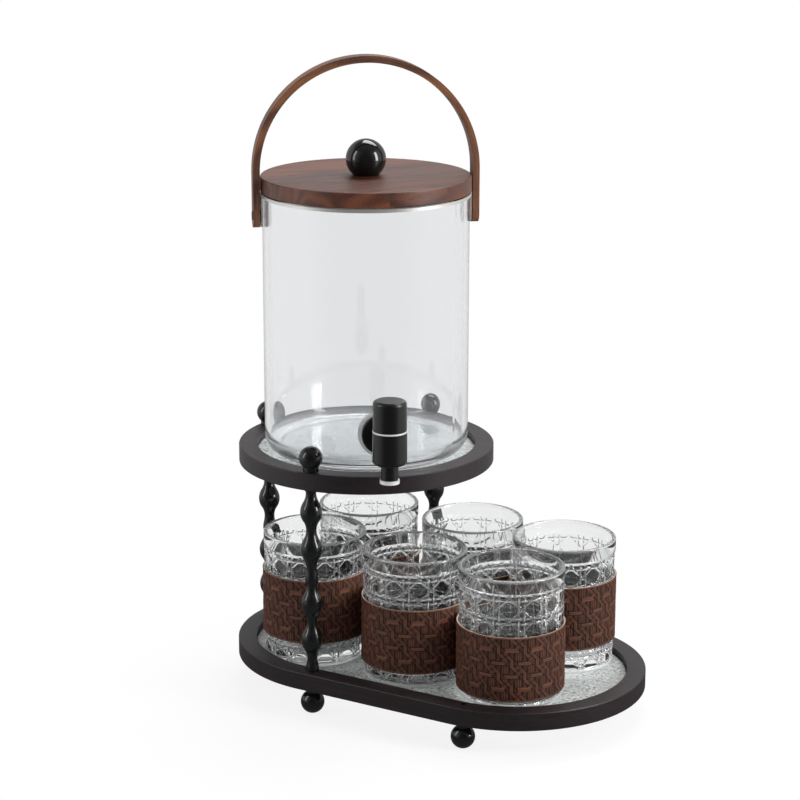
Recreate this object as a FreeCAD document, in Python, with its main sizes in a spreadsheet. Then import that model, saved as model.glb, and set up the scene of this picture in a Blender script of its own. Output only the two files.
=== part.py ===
import FreeCAD, Part
import math
import os
import Sketcher

# Cocktail dispenser: a glass jar with a tap, a wooden lid and a bent-wood handle stands in the
# upper ring of a two-tier stand, and six tumblers in leather sleeves stand on the tray below.
# Millimetres, +Z up. The origin is on the floor under the middle of the long tray, +X runs
# along the tray away from the jar.

V = FreeCAD.Vector
doc = FreeCAD.newDocument("cocktail_dispenser")

# ---------------------------------------------------------------- driving dimensions
SIZES = (
    # rails: a round one under the jar and a longer one, the tray, under the tumblers
    ("ring_room", 6.1, "gap between the jar and the upper ring's rail"),
    ("row_room", 7.9, "free width beside two tumblers that stand abreast on the tray"),
    ("row_slack", 12.45, "free length between the three tumblers of the front row"),
    ("tray_outreach", 2.6, "how far the tray's round ends stand out past the upper ring"),
    ("rail_height", 14.0, "height of the tray rail and of the upper ring"),
    ("rail_width", 14.3, "width of the tray rail and of the upper ring"),
    ("rail_rounding", 0.8, "rounding of the rails' outer edges"),
    ("ledge_width", 5.0, "width of the ledge that carries a glass plate"),
    ("plate_recess", 5.0, "depth of a plate's top below its rail's top"),
    ("plate_thickness", 5.0, "thickness of the glass plates"),
    ("plate_play", 0.3, "gap between a glass plate and its rail"),
    # feet, posts and finials
    ("foot_ball_radius", 9.2, "radius of a ball foot"),
    ("foot_pad_depth", 0.5, "height cut off the ball to give it a flat pad"),
    ("foot_neck_radius", 5.0, "radius of the neck between a foot and the rail"),
    ("foot_neck_height", 2.3, "distance from the top of a foot's ball to the rail"),
    ("post_offset", 8.0, "how far the two side posts stand towards the tumblers"),
    ("bead_radius", 8.4, "largest radius of a post's beads"),
    ("waist_radius", 4.0, "radius of a post between its beads"),
    ("flare_radius", 5.3, "radius of a post segment's two ends"),
    ("flare_height", 10.5, "height of the foot below a segment's first bead"),
    ("bead_below", 14.2, "height of a bead below its widest place"),
    ("bead_above", 15.4, "height of a bead above its widest place"),
    ("neck_height", 3.3, "height of the flare on top of a segment"),
    ("finial_ball_radius", 9.0, "radius of a finial's ball"),
    ("finial_collar_radius", 6.0, "radius of a finial's collar"),
    ("finial_collar_height", 2.6, "height of a finial's collar"),
    ("finial_sink", 1.35, "depth to which a finial's ball sinks into its collar"),
    ("stud_radius", 2.0, "radius of the studs that join the stand"),
    ("thread_play", 0.05, "gap between a thread and its hole"),
    ("stud_depth", 8.0, "depth to which a stud enters a post, a foot or a finial"),
    ("hole_end_play", 0.5, "empty length at the end of a stud's hole"),
    ("bolt_head_radius", 4.0, "radius of a countersunk or pan head"),
    ("bolt_head_height", 2.0, "height of a countersunk or pan head"),
    # jar
    ("jar_radius", 79.6, "outer radius of the jar"),
    ("jar_wall", 4.0, "thickness of the jar's wall"),
    ("jar_base", 7.0, "thickness of the jar's base"),
    ("jar_height", 204.3, "height of the jar"),
    ("jar_corner", 13.0, "outer rounding between the jar's base and wall"),
    ("jar_rim_rounding", 1.5, "rounding of the jar's rim"),
    # lid
    ("lid_overhang", 1.4, "how far the wooden lid stands out past the jar"),
    ("lid_thickness", 12.0, "thickness of the wooden lid"),
    ("lid_rounding", 1.2, "rounding of the lid's edges"),
    ("spigot_depth", 4.0, "depth of the wooden step under the lid"),
    ("seal_width", 2.8, "radial width of the lid's seal"),
    ("seal_play", 0.4, "gap between the lid's seal and the jar"),
    ("seal_height", 2.4, "height of the lid's seal"),
    ("seal_groove", 1.0, "depth of the groove that holds the seal"),
    ("knob_radius", 15.5, "radius of the lid's ball knob"),
    ("knob_flat", 3.3, "height cut off the knob where it stands on the lid"),
    ("knob_screw_depth", 12.0, "depth to which the knob's screw enters it"),
    # handle
    ("hoop_thickness", 1.0, "thickness of the steel hoop round the jar"),
    ("hoop_height", 2.4, "height of the steel hoop"),
    ("hoop_drop", 0.6, "distance from the jar's rim to the hoop's top"),
    ("hoop_play", 0.15, "gap between the hoop and the jar"),
    ("ear_play", 0.35, "gap between the hoop's ears and the jar"),
    ("ear_thickness", 1.3, "thickness of the hoop's ears"),
    ("ear_width", 13.6, "width of the hoop's ears"),
    ("washer_thickness", 0.67, "thickness of the washers between ears and handle"),
    ("bow_thickness", 5.2, "thickness of the bent strip"),
    ("bow_width", 13.6, "width of the bent strip"),
    ("bow_rise", 16.0, "height of the bow's centre above the jar's rim"),
    ("pivot_drop", 17.5, "distance from the jar's rim down to the handle's pivots"),
    ("leg_drop", 9.0, "length of the handle below its pivots"),
    ("pivot_radius", 2.2, "radius of the pivot screws"),
    ("pivot_play", 0.08, "gap round a pivot screw and beside a washer"),
    ("washer_radius", 5.0, "radius of the washers between ears and handle"),
    ("pivot_head_radius", 3.6, "radius of a pivot screw's head"),
    ("pivot_head_height", 0.5, "height of a pivot screw's head"),
    # tap
    ("tap_heading", 40.0, "degrees from -Y towards +X in which the tap points"),
    ("tap_height", 33.3, "height of the tap's shank above the jar's foot"),
    ("tap_standoff", 40.4, "distance from the jar's wall to the tap's axis"),
    ("shank_radius", 7.5, "radius of the tap's threaded shank"),
    ("shank_bore", 4.0, "radius of the liquid's way through the tap"),
    ("shank_inside", 15.0, "length of the shank inside the jar"),
    ("jar_hole_play", 0.3, "gap between the shank and the jar's hole"),
    ("gasket_radius", 18.0, "radius of the gasket outside the jar"),
    ("gasket_thickness", 2.2, "thickness of the gaskets where the jar is fullest"),
    ("inner_gasket_radius", 14.0, "radius of the gasket inside the jar"),
    ("gasket_play", 0.05, "gap between a gasket and the glass"),
    ("inner_gasket_edge", 3.3, "thickness of the inner gasket at its thinnest edge"),
    ("flange_radius", 15.6, "radius of the tap's flange"),
    ("flange_thickness", 3.0, "thickness of the tap's flange"),
    ("flange_rounding", 1.0, "rounding of the flange's front edge"),
    ("nut_width", 22.0, "distance across the flats of the lock nut"),
    ("nut_thickness", 6.0, "thickness of the lock nut"),
    ("tap_radius", 12.9, "radius of the tap's body"),
    ("tap_below", 12.4, "height of the tap's body below the shank's axis"),
    ("tap_above", 12.2, "height of the tap's body above the shank's axis"),
    ("tap_rounding", 2.6, "rounding of the tap's lower and upper ends"),
    ("collar_thickness", 1.2, "thickness of the bright ring between body and knob"),
    ("knob_gap", 0.1, "running gap under the tap's knob"),
    ("tap_knob_radius", 12.6, "radius of the tap's knob"),
    ("tap_knob_height", 22.6, "height of the tap's knob"),
    ("spout_radius", 6.5, "radius of the tap's spout"),
    ("spout_length", 11.8, "length of the tap's spout"),
    ("spout_bore", 4.5, "radius of the spout's bore"),
    ("outlet_radius", 7.4, "radius of the ring on the spout's end"),
    ("outlet_height", 2.8, "height of the ring on the spout's end"),
    ("core_radius", 8.0, "radius of the turning valve core"),
    ("core_play", 0.08, "running gap round the valve core"),
    ("core_floor", 3.5, "thickness of the tap's body under the valve core"),
    ("stem_radius", 4.0, "radius of the stem that carries the tap's knob"),
    ("stem_length", 14.0, "length of the stem inside the tap's knob"),
    ("o_ring_section", 0.9, "radius of an O-ring's section"),
    ("grub_radius", 1.5, "radius of the set screw in the tap's knob"),
    ("grub_recess", 1.0, "depth of the set screw below the knob's surface"),
    # tumblers and sleeves
    ("tumbler_rim_radius", 40.2, "radius of a tumbler's smooth rim"),
    ("band_step", 0.4, "how far a tumbler's smooth rim stands out past its wall"),
    ("tumbler_height", 101.0, "height of a tumbler"),
    ("tumbler_band", 10.7, "height of a tumbler's smooth rim"),
    ("tumbler_wall", 3.2, "thickness of a tumbler's wall at the rim"),
    ("tumbler_base", 9.0, "thickness of a tumbler's base"),
    ("tumbler_corner", 3.0, "rounding of a tumbler's foot"),
    ("tumbler_rim_rounding", 1.2, "rounding of a tumbler's rim"),
    ("sleeve_play", 0.1, "gap between a sleeve and its tumbler"),
    ("sleeve_thickness", 1.5, "thickness of the leather"),
    ("sleeve_height", 50.8, "height of a sleeve"),
    # where the tumblers stand: 1, 3 and 5 in the front row, 2, 4 and 6 in the back row
    ("column_gap", 3.0, "gap between the middle and the right tumbler of a row"),
    ("tumbler_1_inset", 3.0, "distance from the tray's middle line to this tumbler's rim"),
    ("tumbler_2_inset", 1.6, "distance from the tray's middle line to this tumbler's rim"),
    ("tumbler_3_inset", 1.2, "distance from the tray's middle line to this tumbler's rim"),
    ("tumbler_4_inset", 6.6, "distance from the tray's middle line to this tumbler's rim"),
    ("tumbler_5_inset", -0.2, "distance from the tray's middle line to this tumbler's rim"),
    ("tumbler_6_inset", 3.3, "distance from the tray's middle line to this tumbler's rim"),
    ("tumbler_1_edge", 0.55, "gap between this tumbler and the tray's rail"),
    ("tumbler_2_edge", 0.55, "gap between this tumbler and the tray's rail"),
    ("tumbler_5_edge", 4.2, "gap between this tumbler and the tray's rail"),
    ("tumbler_6_edge", 0.55, "gap between this tumbler and the tray's rail"),
    # how high each sleeve sits on its tumbler
    ("sleeve_1_level", 20.1, "height of this sleeve above the tumbler's foot"),
    ("sleeve_2_level", 13.0, "height of this sleeve above the tumbler's foot"),
    ("sleeve_3_level", 12.4, "height of this sleeve above the tumbler's foot"),
    ("sleeve_4_level", 12.0, "height of this sleeve above the tumbler's foot"),
    ("sleeve_5_level", 6.7, "height of this sleeve above the tumbler's foot"),
    ("sleeve_6_level", 20.4, "height of this sleeve above the tumbler's foot"),
)
FRONT_ROW = (1, 3, 5)
BACK_ROW = (2, 4, 6)
END_TUMBLERS = (1, 2, 5, 6)

# What follows from the driving dimensions, as formulas of the same sheet. The stand is as wide
# as the jar or two rows of tumblers need, and its two rails line up so that the posts meet both.
FORMULAS = [
    ("tumbler_radius", "tumbler_rim_radius - band_step"),
    ("jar_needs", "jar_radius + ring_room"),
    ("tumblers_need", "tumbler_rim_radius * 2 + row_room - tray_outreach"),
    ("ring_radius", "max(jar_needs; tumblers_need) + rail_width"),
    ("tray_end_radius", "ring_radius + tray_outreach"),
    ("lid_radius", "jar_radius + lid_overhang"),
    ("bow_radius", "jar_radius + ear_play + ear_thickness + washer_thickness + pivot_play"),
    ("leg_rounding", "bow_width * 0.49"),
    ("tap_reach", "jar_radius + tap_standoff"),
    ("gasket_start", "sqrt(jar_radius ^ 2 - gasket_radius ^ 2)"),
    ("gasket_end", "sqrt((jar_radius - jar_wall) ^ 2 - inner_gasket_radius ^ 2)"),
]
for number_on_tray in FRONT_ROW + BACK_ROW:
    FORMULAS.append(
        (
            f"tumbler_{number_on_tray}_aside",
            f"tumbler_rim_radius + tumbler_{number_on_tray}_inset",
        )
    )
for number_on_tray in END_TUMBLERS:
    reach = f"tray_end_radius - rail_width - tumbler_radius - tumbler_{number_on_tray}_edge"
    aside = f"tumbler_{number_on_tray}_aside"
    FORMULAS.append((f"tumbler_{number_on_tray}_beyond", f"sqrt(({reach}) ^ 2 - {aside} ^ 2)"))
FORMULAS.append(
    (
        "tray_span",
        "tumbler_rim_radius * 4 + row_slack - tumbler_1_beyond - tumbler_5_beyond",
    )
)

sheet = doc.addObject("Spreadsheet::Sheet", "Sizes")
for row, (alias, value, note) in enumerate(SIZES, start=1):
    sheet.set(f"A{row}", alias)
    sheet.set(f"B{row}", str(value))
    sheet.setAlias(f"B{row}", alias)
    sheet.set(f"C{row}", note)
doc.recompute()
for row, (alias, formula) in enumerate(FORMULAS, start=len(SIZES) + 1):
    sheet.set(f"A{row}", alias)
    sheet.set(f"B{row}", f"={formula}")
    sheet.setAlias(f"B{row}", alias)
    doc.recompute()


class Size:
    """A length together with the sheet expression that drives it."""

    def __init__(self, value, text):
        self.value = value
        self.text = text

    def join(self, sign, other, value):
        text = other.text if isinstance(other, Size) else repr(float(other))
        return Size(value, f"({self.text} {sign} {text})")

    def __add__(self, other):
        return self.join("+", other, self.value + number(other))

    def __sub__(self, other):
        return self.join("-", other, self.value - number(other))

    def __mul__(self, other):
        return self.join("*", other, self.value * number(other))

    def __truediv__(self, other):
        return self.join("/", other, self.value / number(other))

    def __neg__(self):
        return Size(-self.value, f"(0 - {self.text})")


def number(length):
    return length.value if isinstance(length, Size) else float(length)


class Sheet:
    """Gives each alias of the sheet as a Size."""


s = Sheet()
for alias in [size[0] for size in SIZES] + [formula[0] for formula in FORMULAS]:
    setattr(s, alias, Size(float(sheet.get(alias)), f"Sizes.{alias}"))
ZERO = Size(0.0, "0")

# ---------------------------------------------------------------- levels and places
jar_x = -s.tray_span / 2
ball_middle = s.foot_ball_radius - s.foot_pad_depth
ledge_height = s.rail_height - s.plate_recess - s.plate_thickness
tray_floor = ball_middle + s.foot_ball_radius + s.foot_neck_height
tray_top = tray_floor + s.rail_height
tumbler_floor = tray_top - s.plate_recess
bead_height = s.bead_below + s.bead_above
segment_height = s.flare_height + bead_height * 2 + s.neck_height
joint_level = tray_top + segment_height
ring_floor = joint_level + segment_height
ring_top = ring_floor + s.rail_height
jar_floor = ring_top - s.plate_recess
jar_top = jar_floor + s.jar_height
jar_bore = s.jar_radius - s.jar_wall
pivot_level = jar_top - s.pivot_drop
bow_level = jar_top + s.bow_rise
shank_level = jar_floor + s.tap_height
heading = s.tap_heading.value - 90

post_radius = s.ring_radius - s.rail_width / 2
side_y = math.sqrt(post_radius.value**2 - s.post_offset.value**2)
left_x = jar_x.value
right_x = s.tray_span.value / 2 + s.post_offset.value
POSTS = {
    "front": (left_x + s.post_offset.value, -side_y),
    "left": (left_x - post_radius.value, 0.0),
    "back": (left_x + s.post_offset.value, side_y),
}
FEET = {
    "front_left": POSTS["front"],
    "back_left": POSTS["back"],
    "front_right": (right_x, -side_y),
    "back_right": (right_x, side_y),
}

subparts = {}


# ---------------------------------------------------------------- making
def keep(node, thing):
    """Register a finished sub-part under its node name."""
    thing.Label = node
    subparts[node] = thing
    return thing


def place(thing, x=0, y=0, z=0):
    """Put a thing at x, y, z and bind each Size among them to the sheet."""
    thing.Placement = FreeCAD.Placement(V(number(x), number(y), number(z)), FreeCAD.Rotation())
    for axis, length in (("x", x), ("y", y), ("z", z)):
        if isinstance(length, Size):
            thing.setExpression(f"Placement.Base.{axis}", length.text)
    return thing


def place_on_jar(thing, outward=0, across=0, up=0, lying=False):
    """Put a thing in the jar's turned frame: outward along the tap, lying along it if asked."""
    turn = FreeCAD.Rotation(V(0, 0, 1), heading)
    spot = V(jar_x.value, 0, 0) + turn.multVec(V(number(outward), number(across), number(up)))
    tilt = FreeCAD.Rotation(V(0, 1, 0), 90) if lying else FreeCAD.Rotation()
    thing.Placement = FreeCAD.Placement(spot, turn * tilt)
    return thing


def new_sketch(body, name, role, height=None):
    """A sketch on one of the body's origin planes, raised by a Size if one is given."""
    sketch = body.newObject("Sketcher::SketchObject", name)
    plane = [f for f in body.Origin.OriginFeatures if f.Role == role][0]
    sketch.AttachmentSupport = (plane, [""])
    sketch.MapMode = "FlatFace"
    if height is not None:
        sketch.setExpression("AttachmentOffset.Base.z", height.text)
    return sketch


def fix(sketch, kind, *where, length):
    """Add a dimension to a sketch and bind it to the sheet."""
    index = sketch.addConstraint(Sketcher.Constraint(kind, *where, number(length)))
    if isinstance(length, Size) and length.text != "0":
        sketch.setExpression(f"Constraints[{index}]", length.text)


def draw_outline(sketch, corners):
    """Draw a closed polygon whose corners are pairs of Sizes or numbers."""
    points = [V(number(x), number(y), 0) for x, y in corners]
    edges = [
        sketch.addGeometry(Part.LineSegment(a, b), False)
        for a, b in zip(points, points[1:] + points[:1])
    ]
    for edge, after in zip(edges, edges[1:] + edges[:1]):
        sketch.addConstraint(Sketcher.Constraint("Coincident", edge, 2, after, 1))
    for edge, (x, y) in zip(edges, corners):
        fix(sketch, "DistanceX", -1, 1, edge, 1, length=x)
        fix(sketch, "DistanceY", -1, 1, edge, 1, length=y)


def draw_circle(sketch, x, y, radius):
    circle = sketch.addGeometry(Part.Circle(V(number(x), number(y), 0), V(0, 0, 1), radius.value))
    fix(sketch, "DistanceX", -1, 1, circle, 3, length=x)
    fix(sketch, "DistanceY", -1, 1, circle, 3, length=y)
    fix(sketch, "Radius", circle, length=radius)


def new_body(name):
    return doc.addObject("PartDesign::Body", name)


def lathe(name, corners):
    """A body of revolution about Z from corners given as radius and height."""
    body = new_body(name)
    sketch = new_sketch(body, f"{name}_outline", "XZ_Plane")
    draw_outline(sketch, corners)
    turned = body.newObject("PartDesign::Revolution", f"{name}_turned")
    turned.Profile = sketch
    turned.ReferenceAxis = (sketch, ["V_Axis"])
    turned.Angle = 360
    body.Tip = turned
    doc.recompute()
    return body


def extrude(body, name, sketch, kind, length, reverse=False, middle=False):
    """A PartDesign Pad or Pocket of a sketch."""
    feature = body.newObject(f"PartDesign::{kind}", name)
    feature.Profile = sketch
    feature.setExpression("Length", length.text)
    feature.Reversed = reverse
    feature.Midplane = middle
    body.Tip = feature
    doc.recompute()
    return feature


def circle_edges(shape, radius, height):
    """The names of the circular edges of a given radius about Z at a given height."""
    names = []
    for index, edge in enumerate(shape.Edges, start=1):
        curve = edge.Curve
        if not isinstance(curve, Part.Circle):
            continue
        if abs(curve.Radius - number(radius)) > 1e-4:
            continue
        if abs(curve.Center.z - number(height)) < 1e-4:
            names.append(f"Edge{index}")
    return names


def round_off(body, name, edges, radius):
    """Fillet the named edges of a body's tip."""
    tip = body.Tip
    feature = body.newObject("PartDesign::Fillet", name)
    feature.Base = (tip, edges)
    feature.setExpression("Radius", radius.text)
    body.Tip = feature
    doc.recompute()
    return feature


def round_circles(body, name, circles, radius):
    """Fillet the circular edges at the given radii and heights of a turned body."""
    tip = body.Tip.Shape
    edges = [edge for circle in circles for edge in circle_edges(tip, *circle)]
    return round_off(body, name, edges, radius)


def cylinder(name, radius, height):
    thing = doc.addObject("Part::Cylinder", name)
    thing.setExpression("Radius", radius.text)
    thing.setExpression("Height", height.text)
    return thing


def boolean(kind, name, base, tool):
    thing = doc.addObject(f"Part::{kind}", name)
    thing.Base = base
    thing.Tool = tool
    return thing


def cut_all(name, base, tools):
    """Cut several tools from a base, one after another."""
    for index, tool in enumerate(tools, start=1):
        base = boolean("Cut", f"{name}_cut_{index}", base, tool)
    return base


def group(node, things):
    """Put identical separate solids into one node."""
    compound = doc.addObject("Part::Compound", node)
    compound.Links = things
    return keep(node, compound)


# ---------------------------------------------------------------- stand: rails and plates
def draw_stadium(sketch, radius):
    """Two round ends about the tray's end centres, joined by tangent straights."""
    half = s.tray_span / 2
    span, r = half.value, radius.value
    left = Part.Circle(V(-span, 0, 0), V(0, 0, 1), r)
    right = Part.Circle(V(span, 0, 0), V(0, 0, 1), r)
    arcs = [
        sketch.addGeometry(Part.ArcOfCircle(left, math.pi / 2, 3 * math.pi / 2), False),
        sketch.addGeometry(Part.ArcOfCircle(right, -math.pi / 2, math.pi / 2), False),
    ]
    low = sketch.addGeometry(Part.LineSegment(V(-span, -r, 0), V(span, -r, 0)), False)
    high = sketch.addGeometry(Part.LineSegment(V(span, r, 0), V(-span, r, 0)), False)
    for one, end, other, start in (
        (arcs[0], 2, low, 1),
        (low, 2, arcs[1], 1),
        (arcs[1], 2, high, 1),
        (high, 2, arcs[0], 1),
    ):
        sketch.addConstraint(Sketcher.Constraint("Tangent", one, end, other, start))
    fix(sketch, "DistanceX", -1, 1, arcs[0], 3, length=-half)
    fix(sketch, "DistanceY", -1, 1, arcs[0], 3, length=0)
    fix(sketch, "DistanceX", -1, 1, arcs[1], 3, length=half)
    fix(sketch, "DistanceY", -1, 1, arcs[1], 3, length=0)
    fix(sketch, "Radius", arcs[0], length=radius)


def make_rail(node, outer, draw, floor, x):
    """A rail with a rebate for its glass plate; draw puts an outline of a radius in a sketch."""
    body = new_body(node)
    outline = new_sketch(body, f"{node}_outer", "XY_Plane")
    draw(outline, outer)
    extrude(body, f"{node}_block", outline, "Pad", s.rail_height)
    tip = body.Tip.Shape
    rim = [
        f"Edge{index}"
        for index, edge in enumerate(tip.Edges, start=1)
        if edge.BoundBox.ZLength < 1e-6
    ]
    round_off(body, f"{node}_rounding", rim, s.rail_rounding)
    rebate = new_sketch(body, f"{node}_rebate_outline", "XY_Plane", ledge_height)
    draw(rebate, outer - s.rail_width)
    extrude(body, f"{node}_rebate", rebate, "Pocket", s.rail_height, reverse=True)
    opening = new_sketch(body, f"{node}_opening_outline", "XY_Plane")
    draw(opening, outer - s.rail_width - s.ledge_width)
    extrude(body, f"{node}_opening", opening, "Pocket", s.rail_height, reverse=True)
    return place(body, x=x, z=floor)


def make_plate(node, outer, draw, floor, x):
    body = new_body(node)
    outline = new_sketch(body, f"{node}_outline", "XY_Plane")
    draw(outline, outer - s.rail_width - s.plate_play)
    extrude(body, f"{node}_pad", outline, "Pad", s.plate_thickness)
    return keep(node, place(body, x=x, z=floor + ledge_height))


def draw_disc(sketch, radius):
    draw_circle(sketch, 0, 0, radius)


def stud_holes(name, places, floor):
    """Clearance holes for studs through a rail."""
    holes = []
    for index, (x, y) in enumerate(places, start=1):
        hole = cylinder(f"{name}_{index}", s.stud_radius + s.thread_play, s.rail_height)
        holes.append(place(hole, x, y, floor))
    return holes


tray_rail = make_rail("tray_rail", s.tray_end_radius, draw_stadium, tray_floor, 0)
ring_rail = make_rail("ring_rail", s.ring_radius, draw_disc, ring_floor, jar_x)
tray_places = list(POSTS.values()) + [FEET["front_right"], FEET["back_right"]]
tray_holes = stud_holes("tray_hole", tray_places, tray_floor)
left_head = cylinder("left_head_recess", s.bolt_head_radius + s.thread_play, s.bolt_head_height)
tray_holes.append(place(left_head, *POSTS["left"], tray_floor))
drilled_rail = cut_all("drilled_rail", tray_rail, tray_holes)
ring_holes = stud_holes("ring_hole", POSTS.values(), ring_floor)
keep("upper_ring_frame", cut_all("upper_ring_frame", ring_rail, ring_holes))
make_plate("lower_tray_glass", s.tray_end_radius, draw_stadium, tray_floor, 0)
make_plate("upper_ring_glass", s.ring_radius, draw_disc, ring_floor, jar_x)

# the tray's rail is glued up end to end from two straight bars and five bends
half_span = s.tray_span / 2
far = s.tray_end_radius * 2
for node, low_y in (("tray_rail_front", -far), ("tray_rail_back", ZERO)):
    block = doc.addObject("Part::Box", f"{node}_block")
    block.setExpression("Length", s.tray_span.text)
    block.setExpression("Width", far.text)
    block.setExpression("Height", s.rail_height.text)
    place(block, -half_span, low_y, tray_floor)
    keep(node, boolean("Common", node, drilled_rail, block))
for node, middle, start, sweep in (
    ("tray_rail_right_front", half_span, -90, 90),
    ("tray_rail_right_back", half_span, 0, 90),
    ("tray_rail_left_back", -half_span, 90, 60),
    ("tray_rail_left", -half_span, 150, 60),
    ("tray_rail_left_front", -half_span, 210, 60),
):
    wedge = cylinder(f"{node}_wedge", far, s.rail_height)
    wedge.Angle = sweep
    place(wedge, middle, 0, tray_floor)
    wedge.Placement.Rotation = FreeCAD.Rotation(V(0, 0, 1), start)
    keep(node, boolean("Common", node, drilled_rail, wedge))


# ---------------------------------------------------------------- stand: posts, feet, finials
def swell(start, end):
    """Two equal tangent arcs from one radius to another, upright at both ends."""
    (r0, z0), (r1, z1) = start, end
    rise, out = z1 - z0, r1 - r0
    radius = (rise**2 + out**2) / (4 * abs(out))
    side = math.copysign(1, out)
    half_turn = math.asin(rise / 2 / radius) / 2
    across = side * radius * (1 - math.cos(half_turn))
    along = radius * math.sin(half_turn)
    middle = V((r0 + r1) / 2, 0, (z0 + z1) / 2)
    first = Part.Arc(V(r0, 0, z0), V(r0 + across, 0, z0 + along), middle)
    second = Part.Arc(middle, V(r1 - across, 0, z1 - along), V(r1, 0, z1))
    return [first.toShape(), second.toShape()]


def segment_shape():
    """A post segment with two drop-shaped beads, bored at both ends for its studs."""
    waist, bead, flare = s.waist_radius.value, s.bead_radius.value, s.flare_radius.value
    level = s.flare_height.value
    stations = [(flare, 0.0), (waist, level)]
    for _ in range(2):
        stations.append((bead, level + s.bead_below.value))
        level += bead_height.value
        stations.append((waist, level))
    top = segment_height.value
    stations.append((flare, top))
    edges = []
    for start, end in zip(stations, stations[1:]):
        edges += swell(start, end)
    edges.append(Part.LineSegment(V(flare, 0, top), V(0, 0, top)).toShape())
    edges.append(Part.LineSegment(V(0, 0, top), V(0, 0, 0)).toShape())
    edges.append(Part.LineSegment(V(0, 0, 0), V(flare, 0, 0)).toShape())
    turned = Part.Face(Part.Wire(edges)).revolve(V(0, 0, 0), V(0, 0, 1), 360)
    hole_radius = s.stud_radius.value + s.thread_play.value
    depth = s.stud_depth.value + s.hole_end_play.value
    for z in (0, top - depth):
        turned = turned.cut(Part.makeCylinder(hole_radius, depth, V(0, 0, z)))
    return turned


def make_foot(node, x, y):
    """A ball foot with a flat pad, a neck and a hole for its stud."""
    ball = doc.addObject("Part::Sphere", f"{node}_ball")
    ball.setExpression("Radius", s.foot_ball_radius.text)
    place(ball, x, y, ball_middle)
    neck = cylinder(f"{node}_neck", s.foot_neck_radius, tray_floor - ball_middle)
    place(neck, x, y, ball_middle)
    whole = boolean("Fuse", f"{node}_whole", ball, neck)
    under = cylinder(f"{node}_under", s.foot_ball_radius, s.foot_pad_depth)
    place(under, x, y, -s.foot_pad_depth)
    depth = s.stud_depth + s.hole_end_play
    hole = cylinder(f"{node}_hole", s.stud_radius + s.thread_play, depth)
    place(hole, x, y, tray_floor - depth)
    keep(node, cut_all(node, whole, [under, hole]))


def make_finial(node, x, y):
    """A ball on a collar with a hole for its stud."""
    middle = s.finial_collar_height + s.finial_ball_radius - s.finial_sink
    ball = doc.addObject("Part::Sphere", f"{node}_ball")
    ball.setExpression("Radius", s.finial_ball_radius.text)
    place(ball, x, y, ring_top + middle)
    collar = cylinder(f"{node}_collar", s.finial_collar_radius, middle)
    place(collar, x, y, ring_top)
    whole = boolean("Fuse", f"{node}_whole", ball, collar)
    depth = s.stud_depth + s.hole_end_play
    hole = cylinder(f"{node}_hole", s.stud_radius + s.thread_play, depth)
    place(hole, x, y, ring_top)
    keep(node, cut_all(node, whole, [hole]))


def make_stud(name, x, y, low, high):
    stud = cylinder(name, s.stud_radius, high - low)
    return place(stud, x, y, low)


for side, (x, y) in POSTS.items():
    for tier, floor in (("lower", tray_top), ("upper", joint_level)):
        segment = doc.addObject("Part::Feature", f"{tier}_post_{side}")
        segment.Shape = segment_shape()
        segment.Placement = FreeCAD.Placement(V(x, y, floor.value), FreeCAD.Rotation())
        keep(f"{tier}_post_{side}", segment)
    make_finial(f"finial_{side}", x, y)
for corner, (x, y) in FEET.items():
    make_foot(f"foot_{corner}", x, y)

foot_stud_low = tray_floor - s.stud_depth
foot_studs = []
for side in ("front", "back"):
    under_post = make_stud(
        f"post_foot_stud_{side}", *POSTS[side], foot_stud_low, tray_top + s.stud_depth
    )
    under_rail = make_stud(
        f"right_foot_stud_{side}", *FEET[f"{side}_right"], foot_stud_low, tray_top
    )
    foot_studs += [under_post, under_rail]
group("foot_studs", foot_studs)
left_shank = make_stud("left_bolt_shank", *POSTS["left"], tray_floor, tray_top + s.stud_depth)
left_bolt_head = cylinder("left_bolt_head", s.bolt_head_radius, s.bolt_head_height)
place(left_bolt_head, *POSTS["left"], tray_floor)
keep("left_post_bolt", boolean("Fuse", "left_post_bolt", left_shank, left_bolt_head))
post_studs = []
for name, low, high in (("joint", joint_level, joint_level), ("finial", ring_floor, ring_top)):
    for side, (x, y) in POSTS.items():
        ends = (low - s.stud_depth, high + s.stud_depth)
        post_studs.append(make_stud(f"{name}_stud_{side}", x, y, *ends))
group("post_studs", post_studs)

# ---------------------------------------------------------------- jar
jar_blank = lathe(
    "jar_blank",
    [
        (ZERO, ZERO),
        (s.jar_radius, ZERO),
        (s.jar_radius, s.jar_height),
        (jar_bore, s.jar_height),
        (jar_bore, s.jar_base),
        (ZERO, s.jar_base),
    ],
)
round_circles(jar_blank, "jar_foot_rounding", [(s.jar_radius, 0)], s.jar_corner)
round_circles(
    jar_blank, "jar_floor_rounding", [(jar_bore, s.jar_base)], s.jar_corner - s.jar_wall
)
rim_circles = [(s.jar_radius, s.jar_height), (jar_bore, s.jar_height)]
round_circles(jar_blank, "jar_rim_rounding", rim_circles, s.jar_rim_rounding)
place(jar_blank, x=jar_x, z=jar_floor)
jar_hole = cylinder("jar_hole", s.shank_radius + s.jar_hole_play, s.jar_radius)
place_on_jar(jar_hole, jar_bore / 2, 0, shank_level, lying=True)
keep("jar_glass", boolean("Cut", "jar_glass", jar_blank, jar_hole))

# ---------------------------------------------------------------- lid
lid_hole_radius = s.stud_radius + s.thread_play
lid = lathe(
    "lid_disc",
    [
        (lid_hole_radius, ZERO),
        (s.lid_radius, ZERO),
        (s.lid_radius, s.lid_thickness),
        (lid_hole_radius, s.lid_thickness),
    ],
)
lid_edges = [(s.lid_radius, 0), (s.lid_radius, s.lid_thickness)]
round_circles(lid, "lid_rounding", lid_edges, s.lid_rounding)
keep("lid_disc", place(lid, x=jar_x, z=jar_top))

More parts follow.
